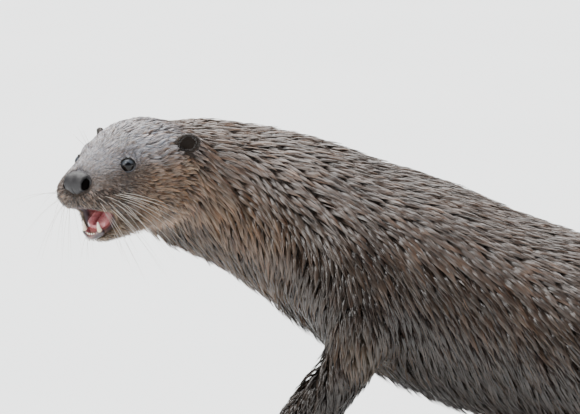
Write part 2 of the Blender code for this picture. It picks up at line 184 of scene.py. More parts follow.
@dataclass(frozen=True)
class HeadFrame:
    """The head's own frame: forward to the nose, left and up, from the point midway between the eyes."""

    centre: Triple = (39.5, -75.0, 264.0)
    yaw: float = 54.0
    pitch: float = -8.0

    def axes(self) -> Array:
        """Rows that are the forward, left and up directions."""
        yaw, pitch = math.radians(self.yaw), math.radians(self.pitch)
        back = np.array((math.cos(pitch) * math.cos(yaw), math.cos(pitch) * math.sin(yaw), -math.sin(pitch)))
        left = np.array((math.sin(yaw), -math.cos(yaw), 0.0))
        return np.array((-back, left, np.cross(left, back)))

    def to_body(self, local: Array) -> Array:
        """Points of the head's frame, in the body's."""
        return np.asarray(local, float) @ self.axes() + np.array(self.centre)

    def from_body(self, points: Array) -> Array:
        """Points of the body's frame, in the head's."""
        return (np.asarray(points, float) - np.array(self.centre)) @ self.axes().T

    def turn(self, local: Array) -> Array:
        """Directions of the head's frame, in the body's."""
        return np.asarray(local, float) @ self.axes()


HEAD = HeadFrame()


@dataclass(frozen=True)
class Place:
    """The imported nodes, and where the design frame's origin lies among them, in millimetres."""

    nodes: dict[str, Object]
    shift: Triple

    @staticmethod
    def found(nodes: dict[str, Object]) -> "Place":
        """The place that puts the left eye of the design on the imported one."""
        low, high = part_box("eye_left")
        packed = (np.array(low) + np.array(high)) / 2 / MM
        return Place(nodes, tuple(packed - HEAD.to_body(EYE.at)))

    def node_points(self, name: str) -> Array:
        """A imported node's points, as design points."""
        return self.design(read_points(self.nodes[name].data))

    def metres(self, points: Array) -> Array:
        """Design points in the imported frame's metres."""
        return (np.asarray(points, float) + np.array(self.shift)) * MM

    def design(self, points: Array) -> Array:
        """Packed points, in metres, as design points."""
        return np.asarray(points, float) / MM - np.array(self.shift)


@dataclass(frozen=True)
class EyeSize:
    """An eye's place in the head's frame, its ball and the way that it looks."""

    at: Triple = (0.4, 20.7, -4.2)
    radius: float = 6.8
    look: Triple = (0.66, 0.73, 0.17)
    opening: float = 54.0

    def centre(self, side: Side) -> Array:
        """The ball's centre in the body's frame."""
        return HEAD.to_body((self.at[0], -side.value * self.at[1], self.at[2]))

    def axis(self, side: Side) -> Array:
        """The direction that the eye looks in, in the body's frame."""
        return unit(HEAD.turn((self.look[0], -side.value * self.look[1], self.look[2])))

    def around(self, points: Array, side: Side) -> tuple[Array, Array, Array]:
        """Where points lie round the ball.

        Args:
            points: Design points.
            side: Which eye.

        Returns:
            The outward direction at each, its distance from the centre and its angle off the line of
            sight in degrees.
        """
        offset = points - self.centre(side)
        angle = np.degrees(np.arccos(np.clip((unit(offset) * self.axis(side)).sum(1), -1, 1)))
        return unit(offset), lengths(offset), angle


@dataclass(frozen=True)
class MouthSize:
    """The open mouth's hollow in the head's frame, as widths and heights at distances forward."""

    forward: tuple[float, ...] = (-20.0, -10.0, 2.0, 15.0, 22.0, 30.0, 50.0)
    half_width: tuple[float, ...] = (6.0, 11.0, 12.5, 12.5, 14.5, 17.0, 19.0)
    top: tuple[float, ...] = (-38.5, -35.5, -34.0, -33.5, -33.0, -32.0, -31.0)
    bottom: tuple[float, ...] = (-45.0, -48.5, -51.0, -53.0, -54.0, -54.5, -55.0)
    corner: float = 2.4
    back_wall: float = 6.0

    def depth_in(self, local: Array) -> Array:
        """How deep points lie in the hollow.

        Args:
            local: Head-frame points.

        Returns:
            Numbers below 1 inside it, 1 at its wall and more outside.
        """
        ahead = np.clip(local[:, 0], self.forward[0], self.forward[-1])
        wide = np.interp(ahead, self.forward, self.half_width)
        top = np.interp(ahead, self.forward, self.top)
        bottom = np.interp(ahead, self.forward, self.bottom)
        middle, half = (top + bottom) / 2, (top - bottom) / 2
        across = (np.abs(local[:, 1]) / wide) ** self.corner
        across += (np.abs(local[:, 2] - middle) / half) ** self.corner
        return across ** (1 / self.corner) + np.maximum(0.0, self.forward[0] - local[:, 0]) / self.back_wall


@dataclass(frozen=True)
class PadSize:
    """The nose pad's middle in the head's frame and its radii."""

    at: Triple = (35.5, 0.0, -12.0)
    radii: Triple = (8.8, 13.0, 9.3)

    def offset(self, local: Array) -> Array:
        """Head-frame points as measured from the pad's middle in its radii."""
        return (local - np.array(self.at)) / np.array(self.radii)


MOUTH = MouthSize()
EYE = EyeSize()
PAD = PadSize()


def linked(name: str, data: bpy.types.ID) -> Object:
    """A new object of the scene that holds a mesh, a lens or a lamp."""
    made = bpy.data.objects.new(name, data)
    bpy.context.scene.collection.objects.link(made)
    return made


def mesh_from_arrays(name: str, points: Array, faces: Array, place: Place) -> Object:
    """A smooth-shaded object from joined arrays of design points and faces of one size each.

    Args:
        name: The object's name.
        points: Design points in millimetres.
        faces: Rows of point numbers, all of one length.
        place: The design frame's place.

    Returns:
        The linked object.
    """
    mesh = bpy.data.meshes.new(name)
    corners = faces.shape[1]
    mesh.vertices.add(len(points))
    mesh.vertices.foreach_set("co", place.metres(points).astype(np.float32).ravel())
    mesh.loops.add(faces.size)
    mesh.loops.foreach_set("vertex_index", faces.astype(np.int32).ravel())
    mesh.polygons.add(len(faces))
    mesh.polygons.foreach_set("loop_start", np.arange(0, faces.size, corners, dtype=np.int32))
    mesh.update(calc_edges=True)
    mesh.shade_smooth()
    return linked(name, mesh)


def object_from(name: str, shape: BMesh, place: Place) -> Object:
    """A smooth-shaded object from a bmesh, which is freed.

    Args:
        name: The object's name.
        shape: Closed shapes in design millimetres.
        place: The design frame's place.

    Returns:
        The linked object.
    """
    bmesh.ops.recalc_face_normals(shape, faces=shape.faces)
    mesh = bpy.data.meshes.new(name)
    shape.to_mesh(mesh)
    shape.free()
    write_points(mesh, read_points(mesh), place)
    mesh.shade_smooth()
    return linked(name, mesh)


def read_rows(source: bpy.types.bpy_prop_collection, name: str, width: int, kind: type = np.float32) -> Array:
    """A property of a mesh's elements as an array.

    Args:
        source: The mesh's points, edges or other elements.
        name: The property.
        width: How many numbers each element has.
        kind: The numbers' type.

    Returns:
        One row for each element.
    """
    rows = np.empty(len(source) * width, kind)
    source.foreach_get(name, rows)
    return rows.reshape(-1, width)


def read_points(mesh: bpy.types.Mesh) -> Array:
    """A mesh's points as an array."""
    return read_rows(mesh.vertices, "co", 3).astype(float)


def read_normals(mesh: bpy.types.Mesh) -> Array:
    """A mesh's point normals as an array."""
    return read_rows(mesh.vertex_normals, "vector", 3).astype(float)


def write_points(mesh: bpy.types.Mesh, points: Array, place: Place) -> None:
    """Puts design points into a mesh, in metres."""
    mesh.vertices.foreach_set("co", place.metres(points).astype(np.float32).ravel())
    mesh.update()


def copy_of(name: str, grow: float, place: Place) -> BMesh:
    """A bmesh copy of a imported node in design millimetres, with its doubles merged.

    Args:
        name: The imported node.
        grow: How far its points move outwards, in millimetres.
        place: The design frame's place.

    Returns:
        The bmesh, which the caller frees.
    """
    shape = bmesh.new()
    shape.from_mesh(place.nodes[name].data)
    bmesh.ops.remove_doubles(shape, verts=shape.verts, dist=1e-6)
    bmesh.ops.recalc_face_normals(shape, faces=shape.faces)
    shape.normal_update()
    shift = Vector(place.shift)
    for vert, normal in [(vert, vert.normal.copy()) for vert in shape.verts]:
        vert.co = vert.co / MM - shift + normal * grow
    return shape


def spots_of(shape: BMesh) -> Array:
    """A bmesh's points as an array."""
    return np.array([vert.co for vert in shape.verts])


def move(shape: BMesh, spots: Array) -> None:
    """Puts a bmesh's points at design points."""
    for vert, spot in zip(shape.verts, spots):
        vert.co = Vector(spot)


def joined(shapes: list[BMesh]) -> BMesh:
    """One bmesh that holds several.

    Args:
        shapes: The bmeshes, which are freed.

    Returns:
        The new bmesh, which the caller frees.
    """
    whole = bmesh.new()
    scratch = bpy.data.meshes.new("scratch")
    for shape in shapes:
        shape.to_mesh(scratch)
        whole.from_mesh(scratch)
        shape.free()
    bpy.data.meshes.remove(scratch)
    return whole


def balls(spots: list[tuple[Array, float]]) -> list[BMesh]:
    """A ball for each pair of a design point and a radius, ready to be fused.

    Args:
        spots: The pairs.

    Returns:
        One bmesh for each.
    """
    shapes = []
    for spot, radius in spots:
        shape = bmesh.new()
        matrix = Matrix.Translation(Vector(spot))
        bmesh.ops.create_icosphere(shape, subdivisions=2, radius=radius, matrix=matrix)
        shapes.append(shape)
    return shapes


def remeshed(name: str, shapes: list[BMesh], voxel: float, place: Place) -> Object:
    """One closed surface round overlapping shapes, which are freed.

    Args:
        name: The new object's name.
        shapes: Closed shapes in design millimetres.
        voxel: The size of the new surface's faces, in millimetres.
        place: The design frame's place.

    Returns:
        The linked object, with its modifier applied.
    """
    made = object_from(name, joined(shapes), place)
    fuse = made.modifiers.new("Fuse", "REMESH")
    fuse.mode = "VOXEL"
    fuse.voxel_size = voxel * MM
    fuse.use_smooth_shade = True
    return applied(made)


def rounded(thing: Object) -> Object:
    """The object made round by two levels of subdivision."""
    curve = thing.modifiers.new("Round", "SUBSURF")
    curve.levels = curve.render_levels = 2
    return applied(thing)


def applied(thing: Object) -> Object:
    """The object with its modifiers worked into its mesh."""
    bpy.context.view_layer.update()
    graph = bpy.context.evaluated_depsgraph_get()
    mesh = bpy.data.meshes.new_from_object(thing.evaluated_get(graph))
    thing.modifiers.clear()
    thing.data = mesh
    return thing


def strand_faces(rings: int, sides: int, count: int) -> Array:
    """Triangles of many pointed strands that are all built alike.

    Args:
        rings: How many rings of points a strand has before its tip.
        sides: How many points a ring has.
        count: How many strands there are.

    Returns:
        Rows of three point numbers.
    """
    faces = [(0, corner, corner + 1) for corner in range(1, sides - 1)]
    for ring in range(rings - 1):
        for corner in range(sides):
            near, far = ring * sides + corner, ring * sides + (corner + 1) % sides
            faces += [(near, near + sides, far), (far, near + sides, far + sides)]
    last, tip = (rings - 1) * sides, rings * sides
    faces += [(last + corner, tip, last + (corner + 1) % sides) for corner in range(sides)]
    starts = np.arange(count) * (tip + 1)
    return (np.array(faces)[None, :, ::-1] + starts[:, None, None]).reshape(-1, 3)


def fill(node: bpy.types.Node, values: dict[str, float | Triple]) -> None:
    """Sets constants on a node's sockets."""
    for socket, value in values.items():
        node.inputs[socket].default_value = value


def link(tree: bpy.types.NodeTree, *ends: tuple[bpy.types.Node, str, bpy.types.Node, str]) -> None:
    """Joins outputs to inputs, each given as a node and its socket's name."""
    for start, leaves, end, enters in ends:
        tree.links.new(start.outputs[leaves], end.inputs[enters])


class Group:
    """Shader node groups that several finishes place, each built once."""

    @staticmethod
    def begun(name: str, values: dict[str, float | None], outputs: dict[str, str],
              detail: float) -> tuple[bpy.types.ShaderNodeTree, list[bpy.types.Node]]:
        """A new group with its sockets and a noise on object coordinates that takes its Scale.

        Args:
            name: The group's name.
            values: The inputs' values by name, with None for a colour.
            outputs: The outputs' kinds by name.
            detail: How fine the noise is.

        Returns:
            The group, and its input, output and noise nodes.
        """
        tree = bpy.data.node_groups.new(name, "ShaderNodeTree")
        for socket, value in values.items():
            kind = "Color" if value is None else "Float"
            made = tree.interface.new_socket(socket, in_out="INPUT", socket_type=f"NodeSocket{kind}")
            if value is not None:
                made.default_value = value
        for socket, kind in outputs.items():
            tree.interface.new_socket(socket, in_out="OUTPUT", socket_type=f"NodeSocket{kind}")
        kinds = ("NodeGroupInput", "NodeGroupOutput", "ShaderNodeTexNoise", "ShaderNodeTexCoord")
        entry, leave, noise, where = (tree.nodes.new(kind) for kind in kinds)
        fill(noise, {"Detail": detail})
        link(tree, (where, "Object", noise, "Vector"), (entry, "Scale", noise, "Scale"))
        return tree, [entry, leave, noise]

    @staticmethod
    def grain() -> bpy.types.ShaderNodeTree:
        """Fine unevenness: a mask from 0 to 1 and a bumped normal.

        Returns:
            The group.
        """
        name = "fine_grain"
        if name in bpy.data.node_groups:
            return bpy.data.node_groups[name]
        outputs = {"Mask": "Float", "Normal": "Vector"}
        tree, (entry, leave, noise) = Group.begun(name, {"Scale": 900.0, "Height": 0.3}, outputs, 3.0)
        bump = tree.nodes.new("ShaderNodeBump")
        fill(bump, {"Distance": 0.0004})
        link(tree, (noise, "Fac", bump, "Height"), (entry, "Height", bump, "Strength"),
             (noise, "Fac", leave, "Mask"), (bump, "Normal", leave, "Normal"))
        return tree

    @staticmethod
    def mottle() -> bpy.types.ShaderNodeTree:
        """A colour made lighter and darker in patches.

        Returns:
            The group.
        """
        name = "mottle"
        if name in bpy.data.node_groups:
            return bpy.data.node_groups[name]
        values = {"Color": None, "Scale": 60.0, "Darkest": 0.7, "Lightest": 1.3}
        tree, (entry, leave, noise) = Group.begun(name, values, {"Color": "Color"}, 4.0)
        spread = tree.nodes.new("ShaderNodeMapRange")
        fill(spread, {"From Min": 0.3, "From Max": 0.7})
        scale = tree.nodes.new("ShaderNodeVectorMath")
        scale.operation = "SCALE"
        link(tree, (noise, "Fac", spread, "Value"), (entry, "Darkest", spread, "To Min"),
             (entry, "Lightest", spread, "To Max"), (entry, "Color", scale, "Vector"),
             (spread, "Result", scale, "Scale"), (scale, "Vector", leave, "Color"))
        return tree


@dataclass(frozen=True)
class Finish:
    """A finish with patches and a fine grain, in one colour or painted on the mesh as tint.

    rough, patch and grain are ranges or heights: the least and most roughness, the darkest and lightest
    patches, and how high the grain stands. bleed is how much light passes under the surface.
    """

    name: str
    colour: Triple | None = None
    tint: str = "hide_tint"
    specular: float = 0.5
    coat: float = 0.0
    coat_rough: float = 0.1
    patch: tuple[float, float] = (0.75, 1.25)
    patch_scale: float = 60.0
    grain: float = 0.3
    grain_scale: float = 900.0
    rough: tuple[float, float] = (0.3, 0.5)
    bleed: float = 0.0
    bleed_radius: Triple = (1.0, 0.35, 0.2)

    def build(self) -> bpy.types.Material:
        """The material, made the first time that it is asked for.

        Returns:
            The material.
        """
        if self.name in bpy.data.materials:
            return bpy.data.materials[self.name]
        material = bpy.data.materials.new(self.name)
        material.use_nodes = True
        tree = material.node_tree
        shader = tree.nodes["Principled BSDF"]
        fill(shader, {"Specular IOR Level": self.specular, "Coat Weight": self.coat,
                      "Coat Roughness": self.coat_rough})
        if self.bleed:
            fill(shader, {"Subsurface Weight": self.bleed, "Subsurface Radius": self.bleed_radius,
                          "Subsurface Scale": 0.002})
        mottle, grain = tree.nodes.new("ShaderNodeGroup"), tree.nodes.new("ShaderNodeGroup")
        mottle.node_tree, grain.node_tree = Group.mottle(), Group.grain()
        fill(mottle, {"Scale": self.patch_scale, "Darkest": self.patch[0], "Lightest": self.patch[1]})
        fill(grain, {"Scale": self.grain_scale, "Height": self.grain})
        if self.colour is None:
            painted = tree.nodes.new("ShaderNodeAttribute")
            painted.attribute_name = self.tint
            link(tree, (painted, "Color", mottle, "Color"))
        else:
            fill(mottle, {"Color": (*self.colour, 1.0)})
        rough = tree.nodes.new("ShaderNodeMapRange")
        fill(rough, {"To Min": self.rough[0], "To Max": self.rough[1]})
        link(tree, (mottle, "Color", shader, "Base Color"), (grain, "Normal", shader, "Normal"),
             (grain, "Mask", rough, "Value"), (rough, "Result", shader, "Roughness"))
        return material

    def on(self, thing: Object) -> None:
        """Makes this the object's only material."""
        thing.data.materials.clear()
        thing.data.materials.append(self.build())

    def dress(self, thing: Object, slot: str, *nodes: str, tint: Array | None = None) -> Object:
        """Finishes a piece and hands it over to the frame.

        Args:
            thing: The piece.
            slot: Not used.
            *nodes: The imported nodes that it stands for.
            tint: Its linear colour at each point, for a painted finish.

        Returns:
            The piece.
        """
        if tint is not None:
            layer = thing.data.color_attributes.new(self.tint, "FLOAT_COLOR", "POINT")
            opaque = np.hstack((tint, np.ones((len(tint), 1))))
            layer.data.foreach_set("color", opaque.astype(np.float32).ravel())
        self.on(thing)
        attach(thing, "root")
        if nodes:
            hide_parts(*nodes)
        return thing


HIDE = Finish("hide", rough=(0.5, 0.75), specular=0.1, grain=0.5, grain_scale=700.0)
FUR = Finish("wet_fur", tint="coat_tint", rough=(0.2, 0.3), specular=0.52, grain=0.1, patch=(0.8, 1.2),
             patch_scale=45.0)
EAR_SKIN = Finish("ear_hide", rough=(0.6, 0.85), specular=0.12, grain=0.4)
NOSE = Finish("nose_hide", rough=(0.4, 0.55), specular=0.3, grain=0.5, grain_scale=1500.0, patch=(0.85, 1.15),
              patch_scale=120.0)
# Painted shade: a near-black plug that fills each hole of the nose.
NOSTRIL_SHADE = Finish("nostril", (0.002, 0.0015, 0.0015), rough=(0.8, 1.0), specular=0.0, grain=0.0)
EYEBALL = Finish("eyeball", rough=(0.4, 0.5), specular=0.0, coat=0.45, coat_rough=0.02, grain=0.0,
                 patch=(0.95, 1.05))
TONGUE = Finish("tongue_flesh", rough=(0.2, 0.35), coat=0.5, grain=0.35, grain_scale=1200.0,
                patch=(0.85, 1.15), bleed=0.3)
GUM = Finish("gum_flesh", rough=(0.2, 0.4), coat=0.4, grain=0.5, grain_scale=800.0, patch=(0.5, 1.6),
             patch_scale=260.0, bleed=0.1)
TOOTH = Finish("enamel", rough=(0.15, 0.3), grain=0.1, patch=(0.92, 1.05), bleed=0.15)
CLAW = Finish("claw_horn", (0.06, 0.045, 0.035), rough=(0.3, 0.45), grain=0.2)
WHISKER = Finish("whisker_hair", tint="coat_tint", rough=(0.25, 0.4), grain=0.0, patch=(0.9, 1.1))
FLOOR = Finish("studio_floor", (0.86, 0.88, 0.89), rough=(0.7, 0.85), specular=0.2, grain=0.0,
               patch=(0.99, 1.01), patch_scale=2.0)


# Coat: what it is like at each place, and the locks it is made of


@dataclass(frozen=True)
class Fleece:
    """What the coat is like in one region. Lengths are millimetres.

    depth is from skin to lock tips, spacing from one clump's root to the next, length a lock's, width its
    own, locks how many make a clump, gather how far their tips draw together, hang how far they droop,
    lift how far the tips stand off, and streak how much clumps differ in tone.
    """

    depth: float
    spacing: float
    length: float
    width: float
    locks: float
    gather: float
    hang: float = 0.0
    lift: float = 0.0
    streak: float = 0.16

    def row(self) -> Array:
        """The numbers as an array, for blending from region to region."""
        return np.array(astuple(self))


FLEECES = {
    "muzzle": Fleece(0.5, 1.1, 4.2, 0.4, 2.6, 0.4, lift=0.05, streak=0.14),
    "pad": Fleece(0.9, 1.25, 5.0, 0.42, 3.0, 0.3, lift=0.6, streak=0.75),
    "brow": Fleece(0.9, 1.3, 6.5, 0.42, 3.0, 0.6, lift=0.0, streak=0.18),
    "crown": Fleece(2.2, 2.4, 12.5, 0.75, 5.2, 0.92, lift=0.15, streak=0.3),
    "cheek": Fleece(2.4, 2.5, 12.5, 0.75, 5.2, 0.92, lift=0.35, streak=0.3),
    "jaw": Fleece(1.2, 1.6, 5.5, 0.5, 2.6, 0.5, hang=0.5, lift=0.3, streak=0.25),
    "neck": Fleece(3.8, 3.4, 21.0, 1.0, 5.6, 0.94, hang=1.1, lift=0.6, streak=0.28),
    "chest": Fleece(4.4, 4.15, 26.0, 1.2, 6.4, 0.96, hang=2.0, lift=0.8, streak=0.28),
    "loin": Fleece(4.4, 4.4, 25.0, 1.3, 6.4, 0.96, hang=1.8, lift=0.9, streak=0.28),
    "hips": Fleece(4.4, 4.4, 20.0, 1.45, 6.4, 0.95, hang=1.0, lift=1.0, streak=0.24),
    "shoulder": Fleece(3.8, 4.0, 23.0, 1.15, 6.2, 0.94, hang=1.0, lift=0.8, streak=0.24),
    "forearm": Fleece(2.4, 3.1, 11.0, 1.1, 4.8, 0.88, lift=0.4, streak=0.22),
    "forepaw": Fleece(0.9, 2.1, 5.4, 0.7, 2.6, 0.55, lift=0.15, streak=0.22),
    "thigh": Fleece(3.8, 4.2, 17.0, 1.35, 6.0, 0.93, lift=0.8, streak=0.22),
    "shank": Fleece(2.2, 3.1, 10.0, 1.1, 4.8, 0.88, lift=0.4, streak=0.22),
    "hindpaw": Fleece(0.9, 2.1, 5.4, 0.7, 2.6, 0.55, lift=0.15, streak=0.22),
    "tail_base": Fleece(3.4, 4.0, 16.0, 1.3, 5.8, 0.92, lift=0.5, streak=0.22),
    "tail_tip": Fleece(1.8, 3.3, 12.0, 1.05, 4.4, 0.85, lift=0.3, streak=0.22),
    "upper_back": Fleece(4.4, 3.7, 22.0, 0.98, 5.8, 0.86, lift=0.35, streak=0.18),
    "chin": Fleece(2.4, 2.2, 10.5, 0.6, 4.0, 0.85, hang=2.2, lift=1.6, streak=0.3),
    "toes": Fleece(0.5, 1.6, 3.8, 0.5, 2.2, 0.4, lift=0.1, streak=0.2),
    "tail_end": Fleece(0.35, 1.7, 9.0, 0.6, 3.6, 0.6, lift=0.1, streak=0.2),
    "ear": Fleece(0.5, 1.1, 3.0, 0.34, 3.0, 0.4, lift=0.1),
}
ROWS = {name: fleece.row() for name, fleece in FLEECES.items()}
# Where some of the numbers stand in a row.
DEPTH, SPACING, LENGTH, LOCKS, LIFT = 0, 1, 2, 4, 7
LEG_NODES = ("shoulder", "forearm", "forepaw", "thigh", "shank", "hindpaw")


@dataclass(frozen=True)
class SpineLine:
    """The body's middle line in the design frame, which the coat's lie and colour are measured from."""

    x: tuple[float, ...] = (60.0, 96.0, 155.0, 250.0, 375.0, 505.0, 612.0, 700.0, 832.0, 968.0, 1050.0)
    y: tuple[float, ...] = (-35.0, -9.0, 2.0, 2.0, 2.0, 3.0, 8.0, 18.0, 45.0, 97.0, 143.0)
    z: tuple[float, ...] = (250.0, 238.0, 212.0, 170.0, 123.0, 92.0, 76.0, 44.0, 20.0, 10.2, 5.0)
    half: tuple[float, ...] = (42.0, 50.0, 60.0, 78.0, 80.0, 72.0, 52.0, 30.0, 18.0, 10.0, 5.0)
    step: float = 12.0

    def about(self, points: Array) -> tuple[Array, Array, Array]:
        """Where points lie round the line.

        Args:
            points: Design points.

        Returns:
            The line's backward direction at each, the height over the line and the distance to the side,
            the last two in half thicknesses.
        """
        along = points[:, 0]
        centre = np.array([np.interp(along, self.x, row) for row in (self.x, self.y, self.z)]).T
        ahead = np.array([np.interp(along - self.step, self.x, row) for row in (self.y, self.z)]).T
        behind = np.array([np.interp(along + self.step, self.x, row) for row in (self.y, self.z)]).T
        back = unit(np.column_stack((np.full(len(points), 2 * self.step), behind - ahead)))
        offset = (points - centre) / np.interp(along, self.x, self.half)[:, None]
        return back, offset[:, 2], offset[:, 1]


@dataclass(frozen=True)
class Lie:
    """A guide for the lie of the face's hair: a place and a direction in the head's frame, and its reach."""

    at: Triple
    way: Triple
    reach: float = 14.0


FACE_LIES = (
    Lie((34, 0, 0), (-1.0, 0.1, 0.3), 10),
    Lie((18, 0, 7), (-1.0, 0.08, 0.2), 12),
    Lie((16, 14, 2), (-0.95, 0.25, 0.05), 10),
    Lie((2, 0, 15), (-1.0, 0.1, 0.15), 14),
    Lie((-20, 10, 19), (-1.0, 0.3, 0.0), 16),
    Lie((-50, 12, 21), (-1.0, 0.15, -0.05), 20),
    Lie((-8, 22, 6), (-0.9, 0.45, 0.1), 9),
    Lie((9, 20, -10), (-0.85, 0.4, -0.3), 8),
    Lie((-14, 30, -6), (-1.0, 0.2, 0.0), 11),
    Lie((-8, 27, -16), (-0.95, 0.1, -0.3), 11),
    Lie((38, 8, -26), (-0.1, 0.75, -0.65), 7),
    Lie((38, 3, -24), (-0.1, 0.5, -0.85), 5),
    Lie((32, 18, -20), (-0.5, 0.55, -0.6), 9),
    Lie((22, 25, -24), (-0.75, 0.15, -0.65), 11),
    Lie((12, 26, -30), (-0.8, 0.1, -0.6), 11),
    Lie((-4, 28, -30), (-0.9, 0.1, -0.45), 13),
    Lie((-26, 42, -30), (-0.95, 0.0, -0.35), 16),
    Lie((-28, 44, -14), (-1.0, 0.0, -0.05), 14),
    Lie((-56, 46, -14), (-1.0, 0.0, 0.15), 14),
    Lie((-58, 46, -34), (-0.9, 0.0, -0.5), 16),
    Lie((-30, 34, -50), (-0.9, -0.1, -0.4), 16),
    Lie((26, 12, -52), (-0.8, 0.45, -0.4), 9),
    Lie((8, 20, -52), (-0.9, 0.3, -0.35), 12),
    Lie((0, 0, -60), (-1.0, 0.0, -0.1), 16),
)


class Pelt:
    """A closed surface with the coat's lie, length and colour at each of its points."""

    def __init__(self, thing: Object, place: Place) -> None:
        """Reads the surface from an object.

        Args:
            thing: The object.
            place: The design frame's place.
        """
        self.thing = thing
        self.place = place
        self.read()
        self.way = np.zeros_like(self.points)
        self.fleece = np.tile(FLEECES["chest"].row(), (len(self.points), 1))
        self.bare = np.zeros(len(self.points))
        self.tint = np.full((len(self.points), 3), 0.05)
        self.kind = np.zeros(len(self.points), int)

    def read(self) -> None:
        """Reads points, normals, edges and triangles."""
        mesh = self.thing.data
        self.points = self.place.design(read_points(mesh))
        self.normals = read_normals(mesh)
        self.edges = read_rows(mesh.edges, "vertices", 2, np.int32)
        mesh.calc_loop_triangles()
        self.triangles = read_rows(mesh.loop_triangles, "vertices", 3, np.int32)

    def write(self) -> None:
        """Puts the points back and works the normals out again."""
        write_points(self.thing.data, self.points, self.place)
        self.normals = read_normals(self.thing.data)

    def tree(self) -> BVHTree:
        """A search tree of the surface's triangles."""
        points = [Vector(point) for point in self.points]
        return BVHTree.FromPolygons(points, self.triangles.tolist(), all_triangles=True)

    def ease(self, passes: int, pull: Array | float = 0.5) -> None:
        """Eases the points towards their neighbours and puts them back."""
        self.points = relax(self.points, self.edges, passes, pull)
        self.write()

    def flatten_way(self) -> None:
        """Lays the hair's directions on the surface."""
        self.way = unit(level(self.way, self.normals))

    def settle_way(self, passes: int) -> None:
        """Lays the hair's directions on the surface and eases them into their neighbours."""
        for _ in range(passes):
            self.flatten_way()
            self.way = relax(self.way, self.edges, 4)
        self.flatten_way()


@dataclass(frozen=True)
class Swell:
    """A stretch of the neck's outline where the skin is moved, along X in design millimetres."""

    middle: float
    width: float
    height: float

    def at(self, along: Array) -> Array:
        """How far the skin is moved at places along X."""
        return self.height * hump(along, self.middle, self.width)


CREST = (Swell(196, 34, 3.8), Swell(140, 30, 2.6), Swell(312, 32, 2.6))
THROAT = Swell(132, 38, 3.8)


def part_of(name: str) -> str:
    """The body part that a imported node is, without its side."""
    return name.rsplit("_", 1)[0] if name.endswith(("left", "right")) else name


def claw_nodes(limb: Limb, side: Side) -> list[str]:
    """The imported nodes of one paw's five claws."""
    return [f"claw_{limb.value}_{side.word}_{number}" for number in range(1, 6)]


@dataclass(frozen=True)
class SkinSize:
    """Measures of the skin and of the toes modelled in it, in millimetres.

    grow is how far the flesh is swollen before it is fused, toe_close the share by which toes stand closer
    together behind, and crest_lift how much farther tips stand off for each millimetre that the crest is up.
    """

    voxel: float = 3.0
    grow: float = 0.45
    toe_radius: float = 4.6
    toe_length: float = 21.0
    toe_front: float = 1.2
    toe_rise: float = 1.5
    toe_close: float = 0.25
    toe_floor: float = 0.4
    toe_balls: int = 8
    knuckle: float = 0.9
    web_depth: float = 4.4
    web_back: float = 3.2
    crest_lift: float = 0.13


